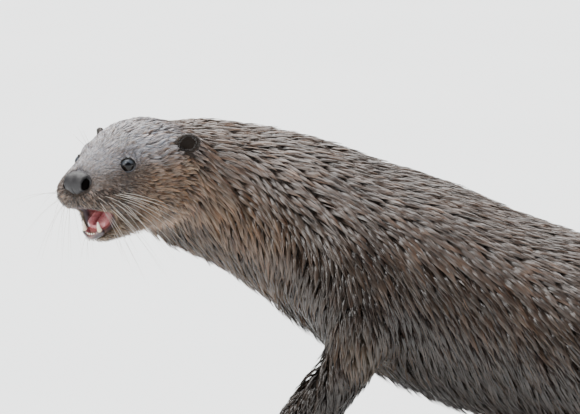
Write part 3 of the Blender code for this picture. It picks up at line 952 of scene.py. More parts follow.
class Skin:
    """The otter's whole skin, one closed surface a coat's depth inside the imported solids."""

    size = SkinSize()
    nodes = ("head", "lower_jaw", "neck", "chest", "loin", "hips", "tail_base", "tail_tip") + tuple(
        f"{part}_{side.word}" for part in LEG_NODES for side in Side
    )
    sunk = {"eye_left": 1.3, "eye_right": 1.3, "nose_pad": 1.0, "tongue": 0.9, "canine_left": 0.7,
            "canine_right": 0.7, "ear_left": 0.9, "ear_right": 0.9}
    easing = {"forepaw": 0.06, "hindpaw": 0.06, "tail_tip": 0.3, "forearm": 0.3, "shank": 0.3}
    limb_ways = {"forearm": (-0.35, 0.0, -1.0), "shank": (0.75, 0.0, -0.65), "forepaw": (-1.0, 0.0, -0.25),
                 "hindpaw": (-1.0, 0.0, -0.25)}

    def __init__(self, place: Place) -> None:
        """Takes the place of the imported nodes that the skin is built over."""
        self.place = place
        self.toes = self.find_toes()

    def build(self) -> None:
        """Fuses the flesh, smooths it, draws it in by the coat's depth and models it."""
        shapes = [copy_of(name, self.size.grow, self.place) for name in self.nodes]
        shapes += [copy_of(name, -sink, self.place) for name, sink in self.sunk.items()]
        self.thing = remeshed("skin", shapes + self.toe_shapes(), self.size.voxel, self.place)
        self.find_regions()
        self.smooth(26, on_face=0.03)
        self.close_neck()
        self.refine()
        self.find_regions()
        self.smooth(20, on_face=0.14)
        self.set_fleece()
        self.sink()
        self.sculpt_paws()
        self.sculpt_face()
        self.lay_hair()
        self.lay_face_hair()
        self.wave_hair()
        self.sort_pieces()

    def belongs(self, *words: str) -> Array:
        """Which points belong to nodes whose names start with one of the words."""
        mine = [number for number, name in enumerate(self.nodes) if name.startswith(words)]
        return np.isin(self.owner, mine)

    def find_toes(self) -> Array:
        """The front and rear end of each toe's axis, found from its claw.

        Returns:
            Pairs of design points.
        """
        size, ends = self.size, []
        for limb in Limb:
            for side in Side:
                claws = [self.place.node_points(name) for name in claw_nodes(limb, side)]
                roots = np.array([claw[claw[:, 0] > np.percentile(claw[:, 0], 75)].mean(0) for claw in claws])
                roots[:, 2] = -self.place.shift[2] + size.toe_floor + size.toe_radius
                rears = roots + (size.toe_length, 0.0, size.toe_rise)
                rears[:, 1] -= (roots[:, 1] - roots[:, 1].mean()) * size.toe_close
                ends.append(np.stack((roots + (size.toe_front, 0.0, 0.0), rears), 1))
        return np.concatenate(ends)

    def toe_shapes(self) -> list[BMesh]:
        """Rounded toes, each with a knuckle, that the claws stand in.

        Returns:
            Overlapping balls.
        """
        spots = []
        for front, rear in self.toes:
            for share in np.linspace(0, 1, self.size.toe_balls):
                radius = self.size.toe_radius + self.size.knuckle * float(hump(share, 0.38, 0.2))
                spot = front * (1 - share) + rear * share
                spot[2] += radius - self.size.toe_radius
                spots.append((spot, radius))
        return balls(spots)

    def beside_toes(self, points: Array) -> tuple[Array, Array]:
        """Where points lie from the nearest toe's axis.

        Args:
            points: Design points.

        Returns:
            How far each is sideways, and how far behind the toe's front as a share of its length.
        """
        sideways, behind = np.full(len(points), 99.0), np.full(len(points), 99.0)
        for front, rear in self.toes:
            run = rear - front
            share = ((points - front)[:, :2] @ run[:2]) / (run[:2] @ run[:2])
            gap = np.abs(points[:, 1] - front[1] - run[1] * share)
            near = (gap < sideways) & (share > -0.4) & (share < 1.6)
            sideways, behind = np.where(near, gap, sideways), np.where(near, share, behind)
        return sideways, behind

    def sculpt_paws(self) -> None:
        """Parts the toes with shallow grooves, with the web between them lower."""
        pelt, paws = self.pelt, self.belongs("forepaw", "hindpaw")
        sideways, behind = self.beside_toes(pelt.points)
        top = ramp(pelt.normals[:, 2], 0.0, 0.5) * ramp(behind, 1.25, 0.7) * paws
        front = ramp(behind, 0.15, -0.05) * paws * (behind < 2)
        pelt.points -= pelt.normals * (self.size.web_depth * hump(sideways, 4.8, 1.8) * top)[:, None]
        pelt.points[:, 0] += self.size.web_back * hump(sideways, 4.9, 1.8) * front
        pelt.write()

    def refine(self) -> None:
        """Halves the faces of head and toes, and halves them again round the eyes, nose and mouth."""
        shape = bmesh.new()
        shape.from_mesh(self.thing.data)
        for finest in (False, True):
            centres = self.place.design([face.calc_center_median() for face in shape.faces])
            chosen = self.finest_part(centres) if finest else self.finer_part(centres)
            edges = {edge for face, take in zip(shape.faces, chosen) if take for edge in face.edges}
            bmesh.ops.subdivide_edges(shape, edges=list(edges), cuts=1, use_grid_fill=True)
        bmesh.ops.triangulate(shape, faces=[face for face in shape.faces if len(face.verts) > 4])
        shape.to_mesh(self.thing.data)
        shape.free()
        self.thing.data.shade_smooth()

    def finer_part(self, points: Array) -> Array:
        """Which points are on the head or the toes."""
        ahead, out, _ = mirrored(HEAD.from_body(points)).T
        sideways, behind = self.beside_toes(points)
        toes = (sideways < 7) & (behind < 1.2) & (points[:, 2] < 24)
        return (ahead > -58) & (ahead < 60) & (out < 60) | toes

    def finest_part(self, points: Array) -> Array:
        """Which points are round the eyes, the nose and the mouth."""
        local = HEAD.from_body(points)
        ahead, out, up = mirrored(local).T
        eye = lengths(mirrored(local) - np.array(EYE.at)) < 13
        muzzle = (ahead > 24) & (out < 31) & (up > -34)
        return eye | muzzle | (MOUTH.depth_in(local) < 1.35) & (ahead > -12)

    def find_regions(self) -> None:
        """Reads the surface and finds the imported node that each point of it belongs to."""
        self.pelt = Pelt(self.thing, self.place)
        points, faces, owners = [], [], []
        for number, name in enumerate(self.nodes):
            start = len(points)
            points += [Vector(point) for point in self.place.node_points(name)]
            for polygon in self.place.nodes[name].data.polygons:
                faces.append([start + index for index in polygon.vertices])
                owners.append(number)
        tree = BVHTree.FromPolygons(points, faces)
        self.owner = np.array([owners[tree.find_nearest(Vector(point))[2]] for point in self.pelt.points])
        self.head = self.belongs("head", "lower_jaw")

    def smooth(self, passes: int, on_face: float) -> None:
        """Takes the facets out of the surface, most on the trunk and hardly at all on toes and face.

        Args:
            passes: How often the surface is eased.
            on_face: How far each pass goes on the face.
        """
        pull = np.full(len(self.pelt.points), 0.5)
        for word, strength in self.easing.items():
            pull[self.belongs(word)] = strength
        pull[self.head] = on_face
        pull += 0.3 * self.belongs("head") * ramp(HEAD.from_body(self.pelt.points)[:, 0], -5, -40)
        self.pelt.ease(passes, relax(pull, self.pelt.edges, 8))

    def close_neck(self) -> None:
        """Fills the crease where the cheeks and the back of the head meet the neck."""
        pelt, head = self.pelt, self.head
        across = pelt.edges[head[pelt.edges[:, 0]] != head[pelt.edges[:, 1]]].ravel()
        seam = np.zeros(len(pelt.points))
        seam[across] = 1.0
        seam = relax(seam, pelt.edges, 40)
        seam = np.clip(seam / max(np.percentile(seam[across], 50), 1e-6) * 1.3, 0, 1)
        seam *= ramp(HEAD.from_body(pelt.points)[:, 0], -8, -30)
        pelt.ease(220, 0.5 * seam)

    def set_fleece(self) -> None:
        """Gives each place its kind of coat, blended from region to region."""
        pelt, points, x = self.pelt, self.pelt.points, self.pelt.points[:, 0]
        for number, name in enumerate(self.nodes):
            if part_of(name) in ROWS:
                pelt.fleece[self.owner == number] = ROWS[part_of(name)]
        self.local = HEAD.from_body(points)
        _, height, _ = SPINE.about(points)
        top = ramp(height, 0.55, 0.85) * ramp(x, 180, 260) * ramp(x, 690, 600)
        pelt.fleece = blend(pelt.fleece, ROWS["upper_back"], top)
        self.raise_crest(height)
        pelt.fleece[self.head] = self.face_fleece()[self.head]
        pull = 0.2 + 0.3 * ramp(self.local[:, 0], -10, -45)
        pelt.fleece = relax(pelt.fleece, pelt.edges, 50, np.where(self.head, pull, 0.5))
        for side in Side:
            far = lengths(points - EYE.centre(side))
            pelt.fleece[:, LENGTH] *= 1 - 0.55 * ramp(far, 15, 10)
            ahead, far = Ear(side, self.place).around(points)
            pelt.fleece[:, LENGTH] *= 1 - 0.6 * ramp(far, 24, 13) * ramp(ahead, -2, 3)
        sideways, behind = self.beside_toes(points)
        toes = ramp(behind, 1.3, 0.6) * (sideways < 9) * ramp(points[:, 2], 30, 22)
        pelt.fleece = blend(pelt.fleece, ROWS["toes"], toes)
        pelt.fleece = blend(pelt.fleece, ROWS["tail_end"], ramp(x, 900, 1020))
        pelt.fleece[:, LENGTH] *= 1 - 0.25 * ramp(x, 340, 440) * ramp(height, 0.3, -0.3)

    def face_fleece(self) -> Array:
        """The head's coat: short in front, long on crown and cheeks, and streaked on the lip pads.

        Returns:
            A fleece's row for each point.
        """
        ahead, _, up = self.local.T
        back = ramp(ahead, 4, -34)
        upper = blend(ROWS["brow"], ROWS["crown"], back)
        lower = blend(ROWS["jaw"], ROWS["cheek"], back)
        mixed = blend(upper, lower, ramp(up, -4, -22))
        mixed = blend(mixed, ROWS["muzzle"], ramp(ahead, 8, 24))
        mixed = blend(mixed, ROWS["pad"], ramp(up, -10, -17) * ramp(ahead, 6, 14))
        mixed = blend(mixed, ROWS["jaw"], ramp(up, -44, -50) * ramp(ahead, -10, 10))
        return blend(mixed, ROWS["chin"], ramp(up, -38, -44) * hump(ahead, -28, 22))

    def raise_crest(self, height: Array) -> None:
        """Works out how far the neck's crest stands up and its throat is drawn in.

        Args:
            height: How high each point is over the spine, in half thicknesses.
        """
        along = self.pelt.points[:, 0]
        crest = sum(swell.at(along) for swell in CREST) * ramp(height, 0.5, 0.85)
        throat = THROAT.at(along) * ramp(height, -0.4, -0.85) * self.belongs("neck", "chest")
        self.pelt.fleece[:, LIFT] += self.size.crest_lift * crest
        self.raised = crest - relax(throat, self.pelt.edges, 20)

    def sink(self) -> None:
        """Draws the surface in by the coat's depth, but leaves the soles and the tail's underside low."""
        pelt = self.pelt
        height = pelt.points[:, 2] + self.place.shift[2]
        sole = ramp(height, 7.0, 2.0) * ramp(pelt.normals[:, 2], -0.3, -0.8)
        mouth = 1 - ramp(MOUTH.depth_in(self.local), 1.0, 1.25)
        mouth = np.where(self.head & (self.local[:, 0] < 60), mouth, 0.0)
        depth = pelt.fleece[:, DEPTH] * (1 - sole * 0.85) * (1 - mouth * 0.9) + self.size.grow - self.raised
        pelt.points -= pelt.normals * depth[:, None]
        pelt.points[:, 2] = np.maximum(pelt.points[:, 2], 0.05 - self.place.shift[2])
        pelt.write()

    def sculpt_face(self) -> None:
        """Opens the skin over the eyes, seats the nose and models lips, brows and folds."""
        pelt = self.pelt
        for side in Side:
            outward, far, angle = EYE.around(pelt.points, side)
            near = self.head & (far < 13.5)
            inside = near & (angle < EYE.opening + 3) & (far < 9)
            target = np.where(inside, np.minimum(far, 5.6), far)
            bed = hump(angle, EYE.opening + 20, 19) * ramp(far, 13.5, 9) * near * ~inside
            target = np.where(bed > 0, target + bed * np.clip(7.6 - far, -0.6, 2.4), target)
            pelt.points += outward * (target - far)[:, None]
        local = HEAD.from_body(pelt.points)
        pad = PAD.offset(local)
        inside = self.head * ramp(lengths(pad), 0.97, 0.85)
        local -= 0.5 * pad * np.array(PAD.radii) * inside[:, None]
        flip = np.where(local < 0, -1.0, 1.0) ** (0, 1, 0)
        hole = np.array(PAD.at) + np.array((4.4, 10.6, 0.2)) * flip
        drawn = 3.0 * self.head * ramp(lengths(local - hole), 4.8, 2.6)
        local -= drawn[:, None] * np.array((0.45, 0.9, 0.0)) * flip
        pelt.points = HEAD.to_body(local)
        rise = sum(shape.rise(mirrored(local)) for shape in FACE_SHAPES)
        pelt.points += pelt.normals * (rise * self.head)[:, None]
        pelt.write()
        self.local = HEAD.from_body(pelt.points)

    def lay_hair(self) -> None:
        """Sets the direction that the hair of trunk and legs lies in, and eases it."""
        pelt = self.pelt
        back, height, aside = SPINE.about(pelt.points)
        x, z = pelt.points[:, 0], pelt.points[:, 2]
        drop = 6 + 15 * ramp(height, 0.95, 0.3) + 13 * ramp(x, 200, 260) * ramp(height, 0.95, 0.2)
        drop += 48 * hump(x, 192, 50) * ramp(height, 0.45, -0.35)
        drop += 13 * ramp(height, 0.3, -0.6) * ramp(x, 640, 520)
        drop = np.radians(drop * (ramp(np.abs(aside), 0.0, 0.35) * ramp(x, 690, 600)))
        down = unit(level(np.tile((0.0, 0.0, -1.0), (len(x), 1)), back))
        pelt.way = back * np.cos(drop)[:, None] + down * np.sin(drop)[:, None]
        for word, way in self.limb_ways.items():
            pelt.way[self.belongs(word)] = way
        pelt.way = blend(pelt.way, (0.1, 0.0, -1.0), ramp(z, 80, 45) * self.belongs("thigh"))
        pelt.way = blend(pelt.way, (0.12, 0.0, -1.0), ramp(z, 150, 105) * self.belongs("shoulder"))
        pelt.settle_way(7)

    def lay_face_hair(self) -> None:
        """Sets the direction that the face's hair lies in from the guides round it, and eases it."""
        pelt, local = self.pelt, self.local[self.head]
        side = mirrored(local)
        total, weights = np.zeros_like(side), np.full(len(side), 1e-9)
        for lie in FACE_LIES:
            gap = ((side - np.array(lie.at)) ** 2).sum(1)
            weight = np.exp(-gap / lie.reach**2 / 1.2) + 1e-6 / (1 + gap)
            total += weight[:, None] * unit(np.array(lie.way, float))
            weights += weight
        way = total / weights[:, None]
        way[:, 1] *= np.where(local[:, 1] < 0, -1, 1)
        share = ramp(local[:, 0], -62, -36)
        pelt.way[self.head] = blend(pelt.way[self.head], unit(HEAD.turn(unit(way))), share)
        pelt.settle_way(2)

    def wave_hair(self) -> None:
        """Turns the hair of cheeks and neck this way and that in waves, as wet hair parts."""
        pelt = self.pelt
        soft_head = relax(self.head.astype(float), pelt.edges, 20)
        ahead, out, up = mirrored(self.local).T
        size = 19 * soft_head * ramp(ahead, 6, -18)
        size += 9 * ramp(ahead, -50, -70) * ramp(pelt.points[:, 0], 260, 180)
        turn = np.sin(ahead / 2.8 + 1.5 * np.sin((out + up) / 6.5))
        turn += 0.6 * np.sin(ahead / 1.7 + (up - out) / 5.0)
        turn = np.radians(size * turn)[:, None]
        pelt.way = pelt.way * np.cos(turn) + np.cross(pelt.normals, pelt.way) * np.sin(turn)

    def sort_pieces(self) -> None:
        """Tells each point which of the coat's pieces it belongs to."""
        left = self.pelt.points[:, 1] < 2.0
        kind = np.where(left, Kind.LEFT_TRUNK, Kind.RIGHT_TRUNK)
        kind[self.head] = Kind.FACE
        kind[self.belongs("neck")] = Kind.NECK
        kind[self.belongs("tail")] = Kind.TAIL
        for word in ("forearm", "forepaw", "shank", "hindpaw"):
            kind[self.belongs(f"{word}_left")] = Kind.LEFT_LEGS
            kind[self.belongs(f"{word}_right")] = Kind.RIGHT_LEGS
        self.pelt.kind = kind

    def covered(self) -> Array:
        """Where the nose pad, the eyes and the ears sit.

        Returns:
            Numbers from 0 to 1.
        """
        most = ramp(lengths(PAD.offset(self.local)), 0.98, 0.88)
        for side in Side:
            _, far, angle = EYE.around(self.pelt.points, side)
            most = np.maximum(most, ramp(angle, EYE.opening + 4, EYE.opening) * ramp(far, 10, 8))
            ahead, far = Ear(side, self.place).around(self.pelt.points)
            most = np.maximum(most, ramp(ahead, -1, 1) * ramp(far, 10.5, 9.0))
            most = np.maximum(most, ramp(ahead, -4.0, -2.5) * ramp(far, 9.0, 8.0))
        return most * self.head

    def dress(self) -> None:
        """Paints the skin, with painted shade under the hair and in the mouth, marks where no hair grows and
        hands it over.
        """
        pelt, local = self.pelt, self.local
        ahead, out, up = mirrored(local).T
        paws = self.belongs("forepaw", "hindpaw")
        tint = coat_colour(pelt.points, local, self.head, paws)
        pelt.tint = relax(tint, pelt.edges, 60, 0.5 * (1 - ramp(ahead, -30, -10) * self.head))
        height = pelt.points[:, 2] + self.place.shift[2]
        sole = ramp(height, 6.0, 3.0) * ramp(pelt.normals[:, 2], -0.35, -0.7) * paws
        in_mouth = MOUTH.depth_in(local)
        mouth = self.head * ramp(in_mouth, 1.12, 1.02) * ramp(ahead, -30, -20)
        lips = self.head * hump(in_mouth, 1.06, 0.12) * ramp(ahead, -24, -10)
        pelt.bare = np.maximum.reduce((sole, mouth, lips, self.covered()))
        # Painted shade: the skin is darker than the coat's colour, as shade under the hair, less so on the
        # upper front of the face.
        tint = pelt.tint * (0.33 + 0.37 * ramp(ahead, -25, 0) * ramp(up, -18, -8))[:, None]
        # Painted shade in the open mouth: the lining darkens towards the back, under the palate and low at
        # the sides.
        lit = (0.62 - ramp(ahead, 12, -18) * 0.46) * (1 - ramp(up, -37, -31) * 0.9)
        lit *= 1 - ramp(out, 7, 12) * ramp(up, -50, -44) * 0.75
        tint = blend(tint, np.array((0.42, 0.13, 0.13)) * lit[:, None], mouth)
        low_lip = ramp(up, -42, -46) * ramp(ahead, 14, 24)
        rim = blend((0.045, 0.032, 0.036), (0.34, 0.20, 0.15), low_lip * 0.55)
        tint = blend(tint, rim, np.clip(lips * 1.3, 0, 1))
        tint = blend(tint, (0.05, 0.04, 0.036), sole)
        HIDE.dress(self.thing, "coat", *self.nodes, tint=tint)


@dataclass(frozen=True)
class Bump:
    """A rise of the face's skin, or a hollow where height is below nothing, on both sides of the head."""

    at: Triple
    radii: Triple
    height: float

    def rise(self, local: Array) -> Array:
        """How far the skin rises at head-frame points."""
        return self.height * np.exp(-(((local - np.array(self.at)) / np.array(self.radii)) ** 2).sum(1))


@dataclass(frozen=True)
class Groove:
    """A crease of the face's skin along a curved line, on both sides of the head."""

    path: tuple[Triple, ...]
    width: float
    depth: float

    def rise(self, local: Array) -> Array:
        """How far the skin rises at points, which is below nothing in the crease.

        Args:
            local: Head-frame points.

        Returns:
            Millimetres.
        """
        best = np.full(len(local), 1e9)
        for start, end in zip(self.path, self.path[1:]):
            origin, run = np.array(start, float), np.array(end, float) - np.array(start, float)
            share = np.clip(((local - origin) @ run) / (run @ run), 0, 1)
            best = np.minimum(best, ((local - origin - share[:, None] * run) ** 2).sum(1))
        return -self.depth * np.exp(-best / self.width**2)


FACE_SHAPES = (
    Bump((24, 17, -23), (9, 8, 8), 0.7),
    Bump((2, 17, 5), (9, 5, 4), 0.7),
    Bump((10, 14, -3), (7, 5, 6), -0.6),
    Bump((37, 0, -26), (4, 1.6, 6), -0.9),
    Bump((6, 24, -13), (6, 4, 3), 0.5),
    Groove(((9, 20, -10), (3, 25, -14), (-8, 28, -15)), 1.3, 0.8),
    Groove(((14, 19, -9), (6, 25, -17), (-8, 30, -21)), 1.5, 0.6),
    Groove(((12, 24, -32), (-2, 27, -30), (-16, 33, -31)), 2.0, 0.6),
)
SPINE = SpineLine()


def coat_colour(points: Array, local: Array, head: Array, paws: Array) -> Array:
    """The coat's colour, for hair and skin alike, with painted light in it: painted sheen on the back, the
    top of the neck and the crown, and painted shade on the underside, the throat and the chest.

    Args:
        points: Design points.
        local: The points in the head's frame.
        head: Which points belong to the head.
        paws: Which belong to the paws.

    Returns:
        A linear colour for each point.
    """
    back = np.array((0.072, 0.057, 0.050))
    painted_nape_sheen = (0.130, 0.105, 0.092)
    flank = (0.026, 0.018, 0.013)
    painted_under_shade = np.array((0.016, 0.011, 0.008))
    tan = np.array((0.150, 0.099, 0.064))
    painted_sky_sheen = (0.215, 0.216, 0.240)
    dark = (0.040, 0.030, 0.024)
    pale = np.array((0.17, 0.125, 0.085))
    _, height, _ = SPINE.about(points)
    x, z = points[:, 0], points[:, 2]
    # Painted sheen: the back is lighter than the flanks, as if lit from above.
    tint = blend(back, flank, ramp(height, 0.85, 0.1))
    # Painted shade: darker towards the underside.
    tint = blend(tint, painted_under_shade, ramp(height, 0.2, -0.4) * ramp(x, 640, 560))
    # The throat is tan; its lower part and the neck's underside are darker as painted shade.
    throat = ramp(height, 0.5, 0.0) * ramp(x, 200, 120) * (1 - 0.75 * ramp(height, 0.0, -0.6))
    tint = blend(tint, tan * 0.8, throat)
    tint = blend(tint, tan * 0.3, ramp(height, 0.0, -0.6) * ramp(x, 240, 160))
    # Painted sheen: the top of the neck is lighter.
    tint = blend(tint, painted_nape_sheen, ramp(height, 0.2, 0.8) * ramp(x, 230, 110) * 0.8)
    # Painted shade on the chest and the tops of the forelegs.
    tint = blend(tint, painted_under_shade * 0.8, ramp(z, 175, 125) * ramp(x, 330, 260) * 0.9)
    tint = blend(tint, pale, hump(x, 244, 20) * ramp(height, -0.45, -0.8) * ramp(z, 100, 115) * 0.5)
    tint = blend(tint, dark, paws * 0.8)
    tint = blend(tint, dark, ramp(x, 640, 900) * 0.6)
    ahead, out, up = mirrored(local).T
    # Painted sky reflection: the top of the head is lighter and bluish.
    face = blend(back * 1.3, painted_sky_sheen, ramp(up, -11, 3) * ramp(ahead, -85, -25))
    face = blend(face, tan, ramp(up, 2, -22) * ramp(ahead, 14, -14) * 0.9)
    face = blend(face, pale * 1.5, hump(ahead, -46, 9) * hump(up, -13, 8) * ramp(out, 25, 33) * 0.6)
    face = blend(face, tan * 0.32, ramp(up, -14, -24) * ramp(ahead, 6, 16) * 0.9)
    face = blend(face, pale * 0.6, ramp(up, -40, -46) * ramp(ahead, -20, 0) * 0.8)
    lip = hump(MOUTH.depth_in(local), 1.35, 0.16) * ramp(up, -28, -33) * ramp(ahead, -10, 5)
    face = blend(face, pale, lip * 0.55)
    return blend(tint, face, head * ramp(ahead, -66, -50))


@dataclass(frozen=True)
class CoatSize:
    """How locks are spread, shaped, laid and shaded. Angles are degrees.

    stations are places along a lock; girth, rise and shade are its width, its height over the skin in coat
    depths and its brightness there, as painted shading: darker towards the root where clumps overlap and
    lighter towards the tip. closest is the least room between clumps as a share of their spacing, stretch how
    much more they need along the hair, and tries how many roots are tried for each wanted. A clump's path has
    steps strides and is overshoot times as long as it. spread and run are how far its roots lie aside and
    along, dome how much it bulges, and lean how far its outer locks tip. roll, lock_roll and stray are chance
    turns of clumps, locks and paths, and most is the most locks in a piece.
    """

    stations: tuple[float, ...] = (0.0, 0.34, 0.68, 1.0)
    girth: tuple[float, ...] = (0.8, 1.1, 0.75, 0.0)
    rise: tuple[float, ...] = (-0.25, 0.58, 0.94, 1.05)
    shade: tuple[float, ...] = (0.15, 0.7, 1.05, 1.3)
    closest: float = 0.71
    stretch: float = 2.1
    tries: float = 9.0
    steps: int = 5
    overshoot: float = 1.35
    spread: float = 0.84
    run: float = 0.6
    dome: float = 0.32
    lean: float = 62.0
    roll: float = 17.0
    lock_roll: float = 6.0
    stray: float = 5.0
    ragged_share: float = 0.3
    tipped_share: float = 0.25
    tip_tint: tuple[float, ...] = (0.12, -0.02, -0.14)
    most: int = 10500


class Coat:
    """Locks of hair on a pelt: pointed strands, gathered in clumps that lie over one another."""

    size = CoatSize()

    def __init__(self, pelt: Pelt, seed: int) -> None:
        """Takes the pelt that the coat grows on.

        Args:
            pelt: The surface with its lie, fleece, colour and bare places.
            seed: The start of the random draws.
        """
        self.pelt = pelt
        self.rng = np.random.default_rng(seed)
        self.tree = pelt.tree()

    def scatter(self) -> tuple[Array, Array]:
        """Roots of the clumps, spread evenly at the fleece's spacing.

        Returns:
            The triangle of each root and its three corner weights.
        """
        pelt, rng = self.pelt, self.rng
        corner = pelt.points[pelt.triangles]
        area = lengths(np.cross(corner[:, 1] - corner[:, 0], corner[:, 2] - corner[:, 0])) / 2
        spacing = pelt.fleece[:, SPACING][pelt.triangles].mean(1)
        bare = pelt.bare[pelt.triangles].max(1)
        want = np.where(bare > 0.5, 0.0, area / spacing**2)
        count = int(want.sum() * self.size.tries)
        chosen = rng.choice(len(want), count, p=want / want.sum())
        first, second = rng.random(count), rng.random(count)
        root = np.sqrt(first)
        weights = np.column_stack((1 - root, root * (1 - second), root * second))
        places = (corner[chosen] * weights[:, :, None]).sum(1)
        ways = unit(pelt.way[pelt.triangles[chosen]].sum(1))
        room = spacing[chosen] * self.size.closest
        band = np.round(np.log2(np.maximum(room, 0.5)) * 2).astype(int)
        kept = []
        for step in np.unique(band):
            rows = np.nonzero(band == step)[0]
            kept += [rows[number] for number in self.thinned(places[rows], ways[rows], 2 ** (step / 2))]
        return chosen[kept], weights[kept]

    def thinned(self, places: Array, ways: Array, near: float) -> list[int]:
        """Which places stay so that none is too near to one before it.

        Args:
            places: Design points.
            ways: The hair's direction at each.
            near: The least distance across the hair.

        Returns:
            The rows that stay.
        """
        cell, limit, shrink = near * self.size.stretch, near * near, 1 - 1 / self.size.stretch**2
        taken: dict[tuple[int, int, int], list[Triple]] = {}
        kept = []
        for index, ((x, y, z), (wx, wy, wz)) in enumerate(zip(places.tolist(), ways.tolist())):
            i, j, k = int(x // cell), int(y // cell), int(z // cell)
            around = [spot for di in (-1, 0, 1) for dj in (-1, 0, 1) for dk in (-1, 0, 1)
                      for spot in taken.get((i + di, j + dj, k + dk), ())]
            for a, b, c in around:
                dx, dy, dz = a - x, b - y, c - z
                run = dx * wx + dy * wy + dz * wz
                if dx * dx + dy * dy + dz * dz - run * run * shrink < limit:
                    break
            else:
                taken.setdefault((i, j, k), []).append((x, y, z))
                kept.append(index)
        return kept

    def trace(self, chosen: Array, weights: Array) -> dict[str, Array]:
        """Follows the lie of the hair from each root over the surface.

        Args:
            chosen: The triangle of each root.
            weights: Its three corner weights.

        Returns:
            Arrays by name: the paths and their normals, and the fleece and colour at each root.
        """
        pelt, rng, steps = self.pelt, self.rng, self.size.steps
        corners = pelt.triangles[chosen]

        def at_root(values: Array) -> Array:
            """Values of the pelt's points, at the roots."""
            return (values[corners] * weights[:, :, None]).sum(1)

        fleece = at_root(pelt.fleece)
        length = fleece[:, LENGTH] * rng.uniform(0.85, 1.2, len(chosen))
        place, normal, way = at_root(pelt.points), unit(at_root(pelt.normals)), at_root(pelt.way)
        stray = np.radians(rng.normal(0, self.size.stray, len(chosen)))[:, None]
        way = unit(way * np.cos(stray) + np.cross(normal, way) * np.sin(stray))
        face_way = [tuple(row) for row in unit(pelt.way[pelt.triangles].mean(1))]
        face_normal = [tuple(row) for row in unit(pelt.normals[pelt.triangles].mean(1))]
        paths = np.empty((len(chosen), steps + 1, 3))
        normals = np.empty_like(paths)
        stride = length * self.size.overshoot / steps
        nearest = self.tree.find_nearest
        for index in range(len(chosen)):
            here, direction, up = Vector(place[index]), Vector(way[index]), Vector(normal[index])
            paths[index, 0] = here
            normals[index, 0] = up
            for number in range(1, steps + 1):
                here, _, face, _ = nearest(here + direction * stride[index])
                up = (up + Vector(face_normal[face])).normalized()
                turned = direction * 0.6 + Vector(face_way[face]) * 0.4
                direction = (turned - up * turned.dot(up)).normalized()
                paths[index, number] = here
                normals[index, number] = up
        return {"path": paths, "normal": normals, "fleece": fleece, "length": length,
                "tint": at_root(pelt.tint), "kind": pelt.kind[corners[:, 0]]}

    def locks(self, grown: dict[str, Array]) -> dict[str, Array]:
        """Splits each clump into its locks.

        Args:
            grown: What trace returned.

        Returns:
            Arrays by name, one row for each lock: the centres, sides, normals and half widths at its
            stations, its colour, its tip's, the kind of place that it grows on and its root.
        """
        rng, size, fleece = self.rng, self.size, grown["fleece"]
        clumps = len(fleece)
        share = np.maximum(np.floor(fleece[:, LOCKS] + rng.random(clumps)).astype(int), 1)
        clump = np.repeat(np.arange(clumps), share)
        depth, spacing, _, width, _, gather, hang, lift, streak = fleece[clump].T
        count = len(clump)
        order = np.arange(count) - np.repeat(np.cumsum(share) - share, share)
        out = 2 * (order + rng.uniform(0.1, 0.9, count)) / share[clump] - 1
        edge = np.abs(out)
        fore = rng.uniform(-1, 1, count) * np.sqrt(1 - edge**2)
        spread = np.hypot(out, fore)
        aside, along = spacing * size.spread * out, spacing * size.run * fore
        length = grown["length"][clump] * rng.uniform(0.86, 1.05, count) * (1 - 0.22 * edge**2)
        reach = grown["length"][clump] * size.overshoot
        path, normal = grown["path"][clump], grown["normal"][clump]
        across = unit(np.cross(normal, unit(np.gradient(path, axis=1))))
        clump_high = rng.uniform(0.75, 1.1, clumps)[clump]
        clump_lift = np.minimum(rng.gamma(1.2, 0.8, clumps), 2.2)[clump] * lift
        ragged = (rng.random(clumps) < size.ragged_share)[clump] * hang * 2.2
        high = rng.uniform(0.8, 1.08, count) * clump_high
        sway = rng.normal(0, 0.025, count) * length
        roll = np.radians(rng.normal(0, size.roll, clumps))[clump]
        roll += np.radians(rng.normal(0, size.lock_roll, count))
        rows = np.arange(count)
        centres, sides, tops, halves = [], [], [], []
        for station, girth, high_up in zip(size.stations, size.girth, size.rise):
            where = (along * (1 - station) + station * length + spacing * 0.25) / reach
            where = np.clip(where, 0.0, 1.0) * size.steps
            low = np.minimum(where.astype(int), size.steps - 1)
            part = where - low
            centre = blend(path[rows, low], path[rows, low + 1], part)
            top = unit(blend(normal[rows, low], normal[rows, low + 1], part))
            side = unit(blend(across[rows, low], across[rows, low + 1], part))
            drawn = aside * (1 - gather * station**1.9) + sway * station * station
            rise = high_up * depth * high
            rise += (1 - spread * spread) * spacing * size.dome * math.sin(math.pi * min(1.0, station + 0.1))
            rise = rise - 0.3 * (station < 0.1) + clump_lift * station**2
            under = np.clip(-top[:, 2], 0, 1) + 0.25
            rise += ragged * np.clip(under, 0, 0.8) * station**1.5
            centre = centre + side * drawn[:, None] + top * rise[:, None]
            centre[:, 2] -= hang * under * station**2 * rng.uniform(0.6, 1.4, count)
            lean = roll + out * math.radians(size.lean) * (1 - 0.4 * station)
            cos, sin = np.cos(lean)[:, None], np.sin(lean)[:, None]
            centres.append(centre)
            sides.append(side * cos - top * sin)
            tops.append(top * cos + side * sin)
            halves.append(width * 0.5 * girth)
        tone = (1 + rng.normal(0, 1, clumps)[clump] * streak) * rng.normal(1.0, 0.12, count)
        warm = rng.normal(0.03, 0.05, count) + np.clip(1 - tone, 0, 0.6) * 0.4
        tips = 1 + (rng.random(clumps) < size.tipped_share)[clump][:, None] * np.array(size.tip_tint)
        tint = grown["tint"][clump] * np.clip(tone, 0.3, 2.6)[:, None]
        tint = tint * np.column_stack((1 + warm, 1 - 0.2 * warm, 1 - warm))
